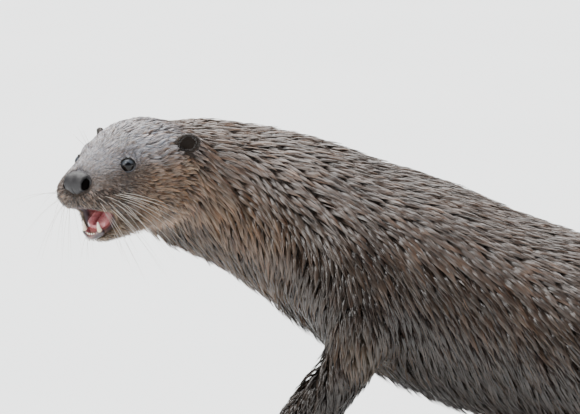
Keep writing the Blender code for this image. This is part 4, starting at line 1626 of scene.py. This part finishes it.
        return {"centre": np.stack(centres, 1), "side": np.stack(sides, 1), "top": np.stack(tops, 1),
                "half": np.stack(halves, 1), "tint": tint, "tips": tips, "kind": grown["kind"][clump],
                "root": path[:, 0]}

    @staticmethod
    def crease(mesh: bpy.types.Mesh, size: int) -> None:
        """Keeps the shading of each lock's outer sides apart from that of its underside.

        Args:
            mesh: The joined locks.
            size: How many points each lock has.
        """
        ends = read_rows(mesh.edges, "vertices", 2, np.int32) % size
        at_tip = ends == size - 1
        low = (ends % 3 < 2) & ~at_tip
        same = (ends[:, 0] % 3 == ends[:, 1] % 3) | at_tip.any(1)
        sharp = (low | at_tip).all(1) & same
        mesh.attributes.new("sharp_edge", "BOOLEAN", "EDGE").data.foreach_set("value", sharp)

    def mesh(self, name: str, locks: dict[str, Array], unwrap: "Unwrap") -> Object:
        """Joins locks into one mesh of three-sided pointed strands.

        Args:
            name: The piece's name.
            locks: What locks returned, for this piece alone.
            unwrap: The skin's unwrap, which places each lock's patch.

        Returns:
            The dressed object.
        """
        centre, count = locks["centre"], len(locks["centre"])
        wide = locks["side"] * locks["half"][:, :, None]
        tall = locks["top"] * locks["half"][:, :, None]
        rings = len(self.size.stations) - 1
        ring = np.stack((centre - wide - tall * 0.1, centre + wide - tall * 0.1, centre + tall * 0.4), 2)
        points = np.concatenate((ring[:, :rings].reshape(count, -1, 3), centre[:, -1:]), 1)
        flat = points.reshape(-1, 3)
        flat[:, 2] = np.maximum(flat[:, 2], 0.15 - self.pelt.place.shift[2])
        faces = strand_faces(rings, 3, count)
        thing = mesh_from_arrays(name, flat, faces, self.pelt.place)
        self.crease(thing.data, points.shape[1])
        # Painted shading along each lock: darker towards the root where clumps overlap, lighter towards the
        # tip.
        shade = np.append(np.repeat(self.size.shade[:rings], 3), self.size.shade[-1])
        tint = locks["tint"][:, None, :] * shade[None, :, None]
        tint[:, -4:] *= locks["tips"][:, None]
        spread = np.column_stack((np.tile((0.0, 1.0, 0.5), rings), np.repeat(np.arange(rings) / rings, 3)))
        spread = np.vstack((spread, (0.5, 1.0)))
        home = unwrap.at(locks["root"])
        spots = (home[:, None] + (spread[None] - 0.5) * Unwrap.patch).reshape(-1, 2)
        layer = thing.data.uv_layers.new(name="OFBake")
        layer.data.foreach_set("uv", spots[faces.ravel()].astype(np.float32).ravel())
        return FUR.dress(thing, "coat", tint=tint.reshape(-1, 3))


class Unwrap:
    """A flat unwrap of a surface's own shape, which gives a place on it for each root."""

    patch = 0.003
    faces = 9000
    angle = 60.0
    margin = 0.004

    def __init__(self, thing: Object, place: Place) -> None:
        """Unwraps a lighter copy of the surface by the way that its parts face.

        Args:
            thing: The surface.
            place: The design frame's place.
        """
        copy = linked("unwrap", thing.data.copy())
        thin = copy.modifiers.new("Thin", "DECIMATE")
        thin.ratio = min(1.0, self.faces / max(1, len(thing.data.polygons) * 2))
        applied(copy)
        for other in bpy.context.view_layer.objects:
            other.select_set(False)
        copy.select_set(True)
        bpy.context.view_layer.objects.active = copy
        bpy.ops.object.mode_set(mode="EDIT")
        bpy.ops.mesh.select_all(action="SELECT")
        bpy.ops.mesh.quads_convert_to_tris()
        bpy.ops.uv.smart_project(angle_limit=math.radians(self.angle), island_margin=self.margin)
        bpy.ops.object.mode_set(mode="OBJECT")
        mesh = copy.data
        points = place.design(read_points(mesh))
        triangles = read_rows(mesh.loops, "vertex_index", 1, np.int32).reshape(-1, 3)
        self.corner = points[triangles]
        self.flat = read_rows(mesh.uv_layers.active.data, "uv", 2).reshape(-1, 3, 2).astype(float)
        self.tree = BVHTree.FromPolygons([Vector(point) for point in points], triangles.tolist())
        bpy.data.objects.remove(copy)

    def at(self, points: Array) -> Array:
        """The places on the unwrap that are nearest to points of the surface.

        Args:
            points: Design points.

        Returns:
            Rows of U and V.
        """
        faces, spots = np.empty(len(points), int), np.empty((len(points), 3))
        for index, point in enumerate(points):
            found, _, face, _ = self.tree.find_nearest(Vector(point))
            faces[index], spots[index] = face, found
        a, b, c = self.corner[faces].transpose(1, 0, 2)
        u, v, w = b - a, c - a, spots - a
        uu, uv, vv = (u * u).sum(1), (u * v).sum(1), (v * v).sum(1)
        wu, wv = (w * u).sum(1), (w * v).sum(1)
        under = np.maximum(uu * vv - uv * uv, 1e-9)
        second = np.clip((vv * wu - uv * wv) / under, 0, 1)
        third = np.clip((uu * wv - uv * wu) / under, 0, 1)
        weights = np.column_stack((1 - second - third, second, third))
        return (self.flat[faces] * weights[:, :, None]).sum(1)


# Eyes, nose, ears, mouth, claws, whiskers


@dataclass(frozen=True)
class Eye:
    """One eye: a wet ball with iris and pupil, and a ring of bare lid round its opening.

    profile is the lid's cross-section, as degrees past the opening and millimetres from the ball's centre.
    upper and lower are how many degrees the lids come over the ball, corner how far its ends draw out.
    """

    side: Side
    place: Place
    bulge: float = 0.45
    profile: tuple[tuple[float, float], ...] = (
        (0.0, 6.6), (0.5, 7.15), (2.5, 7.4), (6.5, 7.45), (14.0, 7.0), (22.0, 6.3), (4.0, 6.2)
    )
    steps: int = 44
    upper: float = 13.0
    lower: float = 8.0
    corner: float = 3.0

    def build(self) -> None:
        """Builds and dresses the ball and the lids."""
        self.ball()
        self.lids()

    def ball(self) -> None:
        """The eyeball, bulged at its cornea, with a painted sky reflection on the upper iris."""
        shape = bmesh.new()
        bmesh.ops.create_icosphere(shape, subdivisions=5, radius=1.0)
        ways = spots_of(shape)
        angles = np.degrees(np.arccos(np.clip(ways @ EYE.axis(self.side), -1, 1)))
        reach = EYE.radius + self.bulge * ramp(angles, 42, 10)
        move(shape, EYE.centre(self.side) + ways * reach[:, None])
        thing = object_from(f"eye_{self.side.word}_ball", shape, self.place)
        pupil = (0.002, 0.002, 0.003)
        iris = (0.007, 0.005, 0.004)
        painted_sky_reflection = (0.050, 0.056, 0.066)
        ring = (0.016, 0.017, 0.020)
        white = (0.035, 0.032, 0.031)
        # Painted sky reflection: the upper part of the iris is lighter and bluish.
        tint = blend(pupil, blend(iris, painted_sky_reflection, ramp(ways @ HEAD.axes()[2], 0.1, 0.5)), ramp(angles, 17, 20))
        tint = blend(tint, ring, ramp(angles, 38, 46))
        tint = blend(tint, white, ramp(angles, 48, 53))
        EYEBALL.dress(thing, "eye", f"eye_{self.side.word}", tint=tint)

    def lids(self) -> None:
        """The lids: a rounded band swept round the eye's opening, with a painted highlight along the lower
        lid.
        """
        axis, centre = EYE.axis(self.side), EYE.centre(self.side)
        across = unit(np.cross(axis, HEAD.axes()[2]))
        up = np.cross(across, axis)
        shape = bmesh.new()
        ring = []
        for past, radius in self.profile:
            angle = math.radians(EYE.opening + past)
            ring.append(shape.verts.new((radius * math.sin(angle), 0.0, radius * math.cos(angle))))
        edges = [shape.edges.new(ends) for ends in zip(ring, ring[1:] + ring[:1])]
        bmesh.ops.spin(shape, geom=ring + edges, cent=(0, 0, 0), axis=(0, 0, 1), angle=math.tau,
                       steps=self.steps, use_merge=True)
        local = spots_of(shape)
        radius = lengths(local)
        angle = np.degrees(np.arccos(np.clip(local[:, 2] / radius, -1, 1)))
        turn = np.arctan2(local[:, 1], local[:, 0])
        lean, wide = np.sin(turn), np.cos(turn)
        shift = self.corner * np.abs(wide) ** 6
        shift -= self.upper * np.maximum(0, lean) ** 1.5 + self.lower * np.maximum(0, -lean) ** 1.6
        bent = np.radians(angle + shift)[:, None]
        way = np.sin(bent) * (wide[:, None] * across + lean[:, None] * up) + np.cos(bent) * axis
        move(shape, centre + way * radius[:, None])
        thing = object_from(f"eyelids_{self.side.word}", shape, self.place)
        # Painted highlight: a pale bluish line along the lower lid's inner edge.
        rim = hump(angle - EYE.opening, 0.8, 1.5) * ramp(way @ up, 0.1, -0.4)
        tint = blend((0.007, 0.006, 0.006), (0.10, 0.10, 0.11), rim)
        EAR_SKIN.dress(thing, "ear_skin", tint=tint)


@dataclass(frozen=True)
class NosePad:
    """The bare nose: two lobes with comma nostrils over a groove that runs down to the lip."""

    place: Place
    holes: tuple[tuple[Triple, Triple], ...] = (
        ((4.1, 9.5, 0.4), (2.9, 2.1, 3.7)), ((0.6, 10.6, -1.4), (2.9, 1.3, 1.3))
    )

    def build(self) -> None:
        """Builds and dresses the pad and the dark plugs of painted shade in its nostrils."""
        self.pad()
        self.nostrils()

    def pad(self) -> None:
        """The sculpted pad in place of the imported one."""
        shape = bmesh.new()
        bmesh.ops.create_icosphere(shape, subdivisions=6, radius=1.0)
        ways = spots_of(shape)
        ahead, out, up = (ways * np.array(PAD.radii)).T
        width = np.abs(out) * (1 - 0.42 * ramp(up, -1.0, -9.0))
        notch = 2.2 * hump(width, 12.0, 4.0) * ramp(up, -1.0, -6.0)
        lobe = 0.9 * hump(width, 6.5, 3.6) * hump(up, 3.0, 5.0)
        groove = 0.7 * hump(width, 0.0, 0.8) * ramp(up, 0.0, -5.0)
        groove += 0.6 * hump(width, 0.0, 2.4) * hump(up, 6.0, 4.0)
        reach = np.hypot((width - 10.4) / 0.62, (ahead - 5.0) / 1.25)
        reach = np.hypot(reach, (up - 0.2 + (ahead - 5.0) * 0.4) * 0.8) * 0.82
        slit = np.hypot((ahead - 1.2) / 1.5, (up + 1.6 + 0.3 * (ahead - 1.2)) * 1.6)
        slit = np.hypot(slit, (width - 11.5) / 0.9)
        reach = np.minimum(reach * 1.12, slit * 1.5)
        hole = ramp(reach, 4.5, 2.9)
        rim = hump(reach, 5.3, 1.0) * (1 - 0.8 * ramp(up, 1, 4))
        rise = (lobe - groove - notch * 0.3) * ramp(ahead, -2.0, 2.0) + 0.5 * rim - 3.3 * hole
        normal = mirrored(unit(ways / np.array(PAD.radii)))
        local = np.column_stack((ahead, width, up)) + normal * rise[:, None]
        local[:, 1] *= np.where(out < 0, -1, 1)
        move(shape, HEAD.to_body(local + np.array(PAD.at)))
        thing = object_from("nose", shape, self.place)
        # Painted shade: near black down in the holes of the nose and darker along the groove.
        tint = blend((0.015, 0.014, 0.015), (0.0015, 0.001, 0.001), np.clip(hole * 1.6, 0, 1))
        tint *= 1 - np.clip(groove * 0.5, 0, 0.6)[:, None]
        NOSE.dress(thing, "nose_leather", "nose_pad", tint=tint)

    def nostrils(self) -> None:
        """Dark plugs in the two nostrils, painted shade for the depth of the holes."""
        shapes = []
        for side in Side:
            for middle, radii in self.holes:
                shape = bmesh.new()
                bmesh.ops.create_icosphere(shape, subdivisions=3, radius=1.0)
                ahead, out, up = (spots_of(shape) * radii).T
                local = np.column_stack((ahead - 0.3 * up, out - 0.5 * ahead, up - 0.4 * ahead))
                local = (np.array(PAD.at) + middle + local) * np.array((1, -side.value, 1))
                move(shape, HEAD.to_body(local))
                shapes.append(shape)
        NOSTRIL_SHADE.dress(object_from("nostrils", joined(shapes), self.place), "nose_leather")


@dataclass(frozen=True)
class Ear:
    """A small round ear: a cupped flap with a furred back and a nearly bare inside, painted darker in the cup
    as shade.
    """

    side: Side
    place: Place
    at: Triple = (-50.0, 42.0, 2.5)
    turn: float = 52.0
    voxel: float = 0.6
    depth: float = 1.5
    shrink: float = 0.25
    wider: float = 0.16
    lower: float = 0.1

    def centre(self) -> Array:
        """The ear's middle in the body's frame."""
        return HEAD.to_body((self.at[0], -self.side.value * self.at[1], self.at[2]))

    def facing(self) -> Array:
        """The direction that the cup opens in, in the body's frame."""
        angle = math.radians(self.turn)
        return HEAD.turn((math.cos(angle), -self.side.value * math.sin(angle), 0.0))

    def around(self, points: Array) -> tuple[Array, Array]:
        """How far design points lie before the ear's middle, and how far from it."""
        offset = points - self.centre()
        return (offset * self.facing()).sum(1), lengths(offset)

    def build(self) -> Pelt:
        """The dressed flap, ready for its hair.

        Returns:
            Its pelt.
        """
        node = f"ear_{self.side.word}"
        shape = copy_of(node, -self.shrink, self.place)
        pelt = Pelt(remeshed(f"{node}_flap", [shape], self.voxel, self.place), self.place)
        pelt.ease(5)
        facing, upward = self.facing(), HEAD.axes()[2]
        middle = pelt.points[(pelt.normals * facing).sum(1) > 0.6].mean(0)
        reach = level(pelt.points - middle, facing)
        far = lengths(reach)
        wide = unit(np.cross(upward, facing))
        pelt.points += wide * ((reach @ wide) * self.wider)[:, None]
        pelt.points -= upward * ((reach @ upward) * self.lower)[:, None]
        cup = ramp(far, 7.6, 3.0) * ramp((pelt.normals * facing).sum(1), 0.2, 0.7)
        pelt.points -= facing * (cup * self.depth)[:, None]
        pelt.ease(3)
        inside = ramp((pelt.normals * facing).sum(1), 0.05, 0.5)
        rim = ramp(far, 4.6, 6.6)
        pelt.fleece[:] = ROWS["ear"]
        way = HEAD.turn((-0.5, -self.side.value * 0.2, 0.8))
        way = way + 0.8 * unit(level(pelt.points - self.centre(), facing))
        pelt.way = blend(way, 0.4 * upward - facing, rim)
        pelt.settle_way(2)
        # Painted shade: the inside of the cup is darker, most towards its middle.
        pelt.tint = blend((0.034, 0.024, 0.018), (0.012, 0.008, 0.006), inside * ramp(far, 8.6, 6.6))
        pelt.bare = inside * (1 - rim)
        pelt.kind[:] = Kind.FACE
        EAR_SKIN.dress(pelt.thing, "ear_skin", node, tint=pelt.tint * 0.9)
        return pelt


@dataclass(frozen=True)
class Mouth:
    """What shows in the open mouth: tongue, gums, lower canines and the incisors between them.

    hinge is the jaw's, forward and up in the head's frame, and opened its angle in degrees.
    """

    place: Place
    hinge: tuple[float, float] = (-42.0, -28.0)
    opened: float = 19.0
    incisor_side: tuple[float, ...] = (1.1, 3.1, 4.9)
    incisor_half: Triple = (0.8, 0.7, 2.3)
    incisor_arc: float = 0.055
    hidden_root: float = 2.6
    gum_front: Triple = (31.0, 0.0, -33.0)
    gum_balls: int = 15
    gum_radius: float = 2.5
    gum_voxel: float = 0.6
    tongue_voxel: float = 0.7

    def dropped(self, ahead: float, out: float, up: float) -> Array:
        """A point of the closed lower jaw where the open jaw has it.

        Args:
            ahead: How far forward it is in the head's frame.
            out: How far to the left.
            up: How far up.

        Returns:
            The design point.
        """
        turn = math.radians(self.opened)
        x, z = ahead - self.hinge[0], up - self.hinge[1]
        return HEAD.to_body((self.hinge[0] + x * math.cos(turn) + z * math.sin(turn), out,
                             self.hinge[1] + z * math.cos(turn) - x * math.sin(turn)))

    def build(self) -> None:
        """Builds and dresses the tongue, the teeth and the gums."""
        self.tongue()
        for side in Side:
            self.canine(side)
        self.incisors()
        self.gums()

    def gums(self) -> None:
        """The wet ridge of gum that the lower teeth stand in."""
        roots = []
        for side in Side:
            local = HEAD.from_body(self.place.node_points(f"canine_{side.word}"))
            low = local[local[:, 2] < np.percentile(local[:, 2], 30)]
            roots.append(low.mean(0) + (0.0, 0.0, self.hidden_root))
        front = HEAD.from_body(self.dropped(*self.gum_front))
        middle, half = (roots[1] + roots[0]) / 2, (roots[1] - roots[0]) / 2
        spots = []
        for turn in np.linspace(-1, 1, self.gum_balls):
            spot = middle + half * turn + (front - middle) * (1 - turn * turn)
            spots.append((HEAD.to_body(spot), self.gum_radius + 0.9 * abs(turn) ** 3))
        pelt = Pelt(remeshed("gums", balls(spots), self.gum_voxel, self.place), self.place)
        pelt.ease(10)
        ahead, _, up = HEAD.from_body(pelt.points).T
        inner = ramp(pelt.normals @ HEAD.axes()[2], 0.2, 0.75)
        tint = blend((0.030, 0.016, 0.019), (0.16, 0.055, 0.06), inner)
        tint = blend(tint, (0.30, 0.15, 0.12), ramp(ahead, 26, 31) * ramp(up, -50, -54))
        GUM.dress(pelt.thing, "tongue", tint=tint)

    def tongue(self) -> None:
        """The tongue, with raised edges and a furrow down its middle, and painted shade and highlights."""
        shape = copy_of("tongue", 0.0, self.place)
        pelt = Pelt(remeshed("tongue_body", [shape], self.tongue_voxel, self.place), self.place)
        points = relax(pelt.points, pelt.edges, 8)
        ahead, out, _ = mirrored(HEAD.from_body(points)).T
        top = ramp(pelt.normals @ HEAD.axes()[2], 0.1, 0.7)
        rise = 1.0 * hump(out, 6.8, 2.4) - 1.6 * hump(out, 0.0, 1.7)
        rise += 0.25 * np.sin(ahead * 1.3) * hump(out, 4.5, 3.0)
        pelt.points = points + pelt.normals * (rise * top)[:, None]
        pelt.write()
        # Painted shade: darker along the furrow and towards the back of the mouth.
        shade = np.clip(hump(out, 0.0, 1.6) * 0.8 * top + ramp(ahead, 10, -10) * 0.7, 0, 1)
        tint = blend((0.45, 0.15, 0.16), (0.16, 0.03, 0.035), shade)
        # Painted highlight on the tops of the raised edges.
        tint += (hump(out, 7.0, 2.0) * top * 0.3)[:, None] * np.array((0.5, 0.35, 0.35))
        TONGUE.dress(pelt.thing, "tongue", "tongue", tint=tint)

    def canine(self, side: Side) -> None:
        """A lower canine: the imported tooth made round, with a yellowed root."""
        node = f"canine_{side.word}"
        shape = copy_of(node, 0.0, self.place)
        local = HEAD.from_body(spots_of(shape))
        local[:, 2] = np.maximum(local[:, 2], local[:, 2].min() + self.hidden_root)
        move(shape, HEAD.to_body(local))
        self.enamel(rounded(object_from(f"{node}_tooth", shape, self.place)), node)

    def incisors(self) -> None:
        """Six small incisors in a low arc between the canines."""
        shapes = []
        wide, thick, tall = self.incisor_half
        for out in self.incisor_side:
            for sign in (-1, 1):
                ahead = 31.2 - out * out * self.incisor_arc
                middle = self.dropped(ahead, sign * out, -31.6)
                rise = unit(self.dropped(ahead + 0.5, sign * out, -27.6) - middle)
                across = HEAD.axes()[1]
                shape = bmesh.new()
                bmesh.ops.create_icosphere(shape, subdivisions=3, radius=1.0)
                x, y, z = spots_of(shape).T[:, :, None]
                taper = 1.0 - 0.25 * np.maximum(z, 0.0)
                square = np.copysign(np.abs(z) ** 0.7, z)
                spots = across * x * wide * taper + np.cross(rise, across) * y * thick * taper
                move(shape, middle + spots + rise * square * tall)
                shapes.append(shape)
        self.enamel(object_from("incisors", joined(shapes), self.place))

    def enamel(self, thing: Object, *nodes: str) -> None:
        """Colours a tooth from its gum to its tip and hands it over.

        Args:
            thing: The tooth.
            *nodes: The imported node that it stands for.
        """
        up = HEAD.from_body(self.place.design(read_points(thing.data)))[:, 2]
        share = (up - up.min()) / (up.max() - up.min())
        tint = blend((0.52, 0.40, 0.24), (0.80, 0.76, 0.66), share)
        TOOTH.dress(thing, "tooth", *nodes, tint=tint)


@dataclass(frozen=True)
class Claws:
    """The five claws of one paw, as one piece of smooth dark horn."""

    limb: Limb
    side: Side
    place: Place
    grow: float = 0.15

    def build(self) -> None:
        """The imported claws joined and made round."""
        nodes = claw_nodes(self.limb, self.side)
        claws = joined([copy_of(node, self.grow, self.place) for node in nodes])
        thing = object_from(f"claws_{self.limb.value}_{self.side.word}", claws, self.place)
        CLAW.dress(rounded(thing), "claw", *nodes)


@dataclass(frozen=True)
class WhiskerRow:
    """A row of whiskers on each side of the head, from one place to another in the head's frame."""

    start: Triple
    end: Triple
    way_start: Triple
    way_end: Triple
    count: int
    length: float
    droop: float


WHISKER_ROWS = (
    WhiskerRow((34, 17, -21), (16, 27, -22), (0.35, 0.75, 0.05), (-0.75, 0.5, -0.25), 6, 46, 0.25),
    WhiskerRow((34, 18, -25), (14, 27, -26), (0.2, 0.7, -0.35), (-0.85, 0.4, -0.35), 6, 56, 0.35),
    WhiskerRow((32, 18, -29), (12, 26, -30), (0.0, 0.6, -0.7), (-0.85, 0.35, -0.5), 6, 56, 0.4),
    WhiskerRow((30, 16, -32), (10, 26, -33), (-0.2, 0.5, -0.8), (-0.7, 0.3, -0.75), 5, 50, 0.4),
    WhiskerRow((2, 17, 9), (-6, 19, 9), (0.4, 0.4, 0.8), (-0.1, 0.5, 0.85), 3, 22, 0.1),
    WhiskerRow((16, 14, -56), (4, 17, -56), (0.2, 0.3, -0.9), (-0.3, 0.3, -0.9), 4, 26, 0.15),
)


class Whiskers:
    """Long pale hairs from the lip pads, the brows and the chin.

    They are cut short where they would pass nearest_side or nearest_front, in design millimetres.
    """

    rings = 9
    sides = 4
    thickness = 0.27
    bend = 0.10
    rooted = 1.2
    nearest_side = -129.0
    nearest_front = -34.0
    least_slope = 0.02

    def __init__(self, pelt: Pelt, seed: int = 11) -> None:
        """Takes the skin's pelt, that the whiskers stand on."""
        self.tree = pelt.tree()
        self.place = pelt.place
        self.rng = np.random.default_rng(seed)

    def planned(self) -> tuple[Array, Array, Array, Array]:
        """Where each whisker starts and how it grows.

        Returns:
            The starts, the directions, and columns of lengths and droops.
        """
        starts, ways, lengths, droops = [], [], [], []
        for row in WHISKER_ROWS:
            for number in range(row.count):
                for side in Side:
                    share = np.clip((number + self.rng.uniform(-0.25, 0.25)) / max(1, row.count - 1), 0, 1)
                    at = np.array(row.start) * (1 - share) + np.array(row.end) * share
                    way = np.array(row.way_start) * (1 - share) + np.array(row.way_end) * share
                    way = unit(way + self.rng.normal(0, 0.09, 3))
                    flip = np.array((1, -side.value, 1))
                    found, _, _, _ = self.tree.find_nearest(Vector(HEAD.to_body(at * flip)))
                    starts.append(np.array(found))
                    ways.append(HEAD.turn(way * flip))
                    lengths.append(row.length * self.rng.uniform(0.65, 1.1))
                    droops.append(row.droop)
        return np.array(starts), np.array(ways), np.array(lengths)[:, None], np.array(droops)[:, None]

    def build(self) -> None:
        """All whiskers as one piece."""
        start, way, length, droop = self.planned()
        for column, nearest in ((1, self.nearest_side), (0, self.nearest_front)):
            slope = way[:, column:column + 1]
            room = (start[:, column:column + 1] - nearest) / np.maximum(-slope, 1e-3)
            length = np.minimum(length, np.where(slope < -self.least_slope, room, 1e3))
        shares = np.linspace(0, 1, self.rings + 1)
        sag = np.array((0.0, 0.0, -1.0)) * length * droop - HEAD.axes()[0] * length * self.bend
        line = np.stack([start + way * length * share + sag * share * share for share in shares], 1)
        line[:, 0] -= way * self.rooted
        run = unit(np.gradient(line, axis=1))
        across = unit(np.cross(run, np.array((0.3, 0.2, 1.0))))
        over = np.cross(run, across)
        rings = []
        for ring, share in enumerate(shares[:-1]):
            girth = self.thickness * 0.5 * (1 - share) ** 0.6
            for angle in np.arange(self.sides) / self.sides * math.tau:
                spot = across[:, ring] * math.cos(angle) + over[:, ring] * math.sin(angle)
                rings.append(line[:, ring] + spot * girth)
        points = np.stack((*rings, line[:, -1]), 1).reshape(-1, 3)
        faces = strand_faces(self.rings, self.sides, len(start))
        thing = mesh_from_arrays("whiskers", points, faces, self.place)
        WHISKER.dress(thing, "coat", tint=np.tile((0.42, 0.38, 0.33), (len(points), 1)))


@dataclass(frozen=True)
class Studio:
    """Camera, floor and light. Each lamp has a name, the way to it, its width in degrees and its power."""

    distance: float = 6.0
    view_width: float = 0.4531
    elevation: float = 6.0
    aim: Triple = (182.0, 0.0, 218.2)
    sensor: float = 36.0
    floor_half: float = 30.0
    sky: float = 0.3
    lamps: tuple[tuple[str, Triple, float, float], ...] = (
        ("overhead", (-0.15, 0.35, 1.0), 70.0, 9.0),
        ("key", (-0.7, -1.0, 1.2), 24.0, 2.2),
        ("side", (-1.0, -0.75, 0.3), 20.0, 1.0),
    )

    def build(self, place: Place) -> None:
        """Sets the stage."""
        self.camera(place)
        self.floor()
        self.lights()

    def camera(self, place: Place) -> None:
        """A long lens level with the animal's left side."""
        lens = bpy.data.cameras.new("camera")
        lens.sensor_width = self.sensor
        lens.lens = self.sensor * self.distance / self.view_width
        lens.clip_end = 200.0
        camera = linked("camera", lens)
        tilt = math.radians(self.elevation)
        back = Vector((0.0, -math.cos(tilt), math.sin(tilt)))
        camera.rotation_mode = "QUATERNION"
        camera.location = Vector(place.metres(self.aim)) + back * self.distance
        camera.rotation_quaternion = (-back).to_track_quat("-Z", "Y")
        bpy.context.scene.camera = camera

    def floor(self) -> None:
        """A wide pale floor under the soles."""
        shape = bmesh.new()
        bmesh.ops.create_grid(shape, x_segments=2, y_segments=2, size=self.floor_half)
        mesh = bpy.data.meshes.new("floor")
        shape.to_mesh(mesh)
        shape.free()
        floor = linked("floor", mesh)
        FLOOR.on(floor)

    def lights(self) -> None:
        """An even sky, a very broad soft light overhead and a narrower one from the front left."""
        world = bpy.data.worlds.new("studio")
        world.use_nodes = True
        sky = world.node_tree.nodes["Background"]
        sky.inputs["Color"].default_value = (0.86, 0.93, 1.0, 1.0)
        sky.inputs["Strength"].default_value = self.sky
        bpy.context.scene.world = world
        for name, way, width, power in self.lamps:
            lamp = bpy.data.lights.new(name, "SUN")
            lamp.angle = math.radians(width)
            lamp.energy = power
            lamp.color = (1.0, 0.99, 0.97)
            thing = linked(name, lamp)
            thing.location = Vector(way) * 3
            thing.rotation_mode = "QUATERNION"
            thing.rotation_quaternion = Vector(way).to_track_quat("Z", "Y")


def grow_coat(pelts: list[Pelt], unwrap: Unwrap) -> list[Object]:
    """Grows the coat on each pelt and joins it into pieces by region.

    Args:
        pelts: The skin's pelt and the ears'.
        unwrap: The skin's unwrap.

    Returns:
        The coat's pieces.
    """
    every: list[dict[str, Array]] = []
    for number, pelt in enumerate(pelts):
        coat = Coat(pelt, FIRST_SEED + number)
        found = coat.locks(coat.trace(*coat.scatter()))
        LOG.info("pelt %d: %d locks", number, len(found["kind"]))
        every.append(found)
    locks = {key: np.concatenate([found[key] for found in every]) for key in every[0]}
    pieces = []
    for kind in Kind:
        mine = np.nonzero(locks["kind"] == kind)[0]
        parts = max(1, math.ceil(len(mine) / coat.size.most))
        for part, rows in enumerate(np.array_split(mine, parts)):
            name = f"coat_{kind.name.lower()}" + (f"_{part + 1}" if parts > 1 else "")
            piece = coat.mesh(name, {key: locks[key][rows] for key in locks}, unwrap)
            LOG.info("%s: %d locks, %d triangles", name, len(rows), len(piece.data.polygons))
            pieces.append(piece)
    return pieces


def main() -> None:
    """Builds the otter from skin to whiskers."""
    logging.basicConfig(level=logging.INFO, format="%(relativeCreated)7d %(name)s %(message)s")
    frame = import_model()
    place = Place.found(frame["nodes"])
    LOG.info("design frame is at %s mm", place.shift)
    skin = Skin(place)
    skin.build()
    skin.dress()
    LOG.info("skin: %d points, %d triangles", len(skin.pelt.points), len(skin.pelt.triangles))
    unwrap = Unwrap(skin.thing, place)
    LOG.info("unwrap done")
    ears = [Ear(side, place).build() for side in Side]
    for side in Side:
        Eye(side, place).build()
        for limb in Limb:
            Claws(limb, side, place).build()
    NosePad(place).build()
    Mouth(place).build()
    LOG.info("eyes, nose, mouth and claws done")
    pieces = grow_coat([skin.pelt, *ears], unwrap)
    LOG.info("coat: %d pieces, %d triangles", len(pieces), sum(len(piece.data.polygons) for piece in pieces))
    Whiskers(skin.pelt).build()
    LOG.info("whiskers done")
    Studio().build(place)


if __name__ == "__main__":
    main()
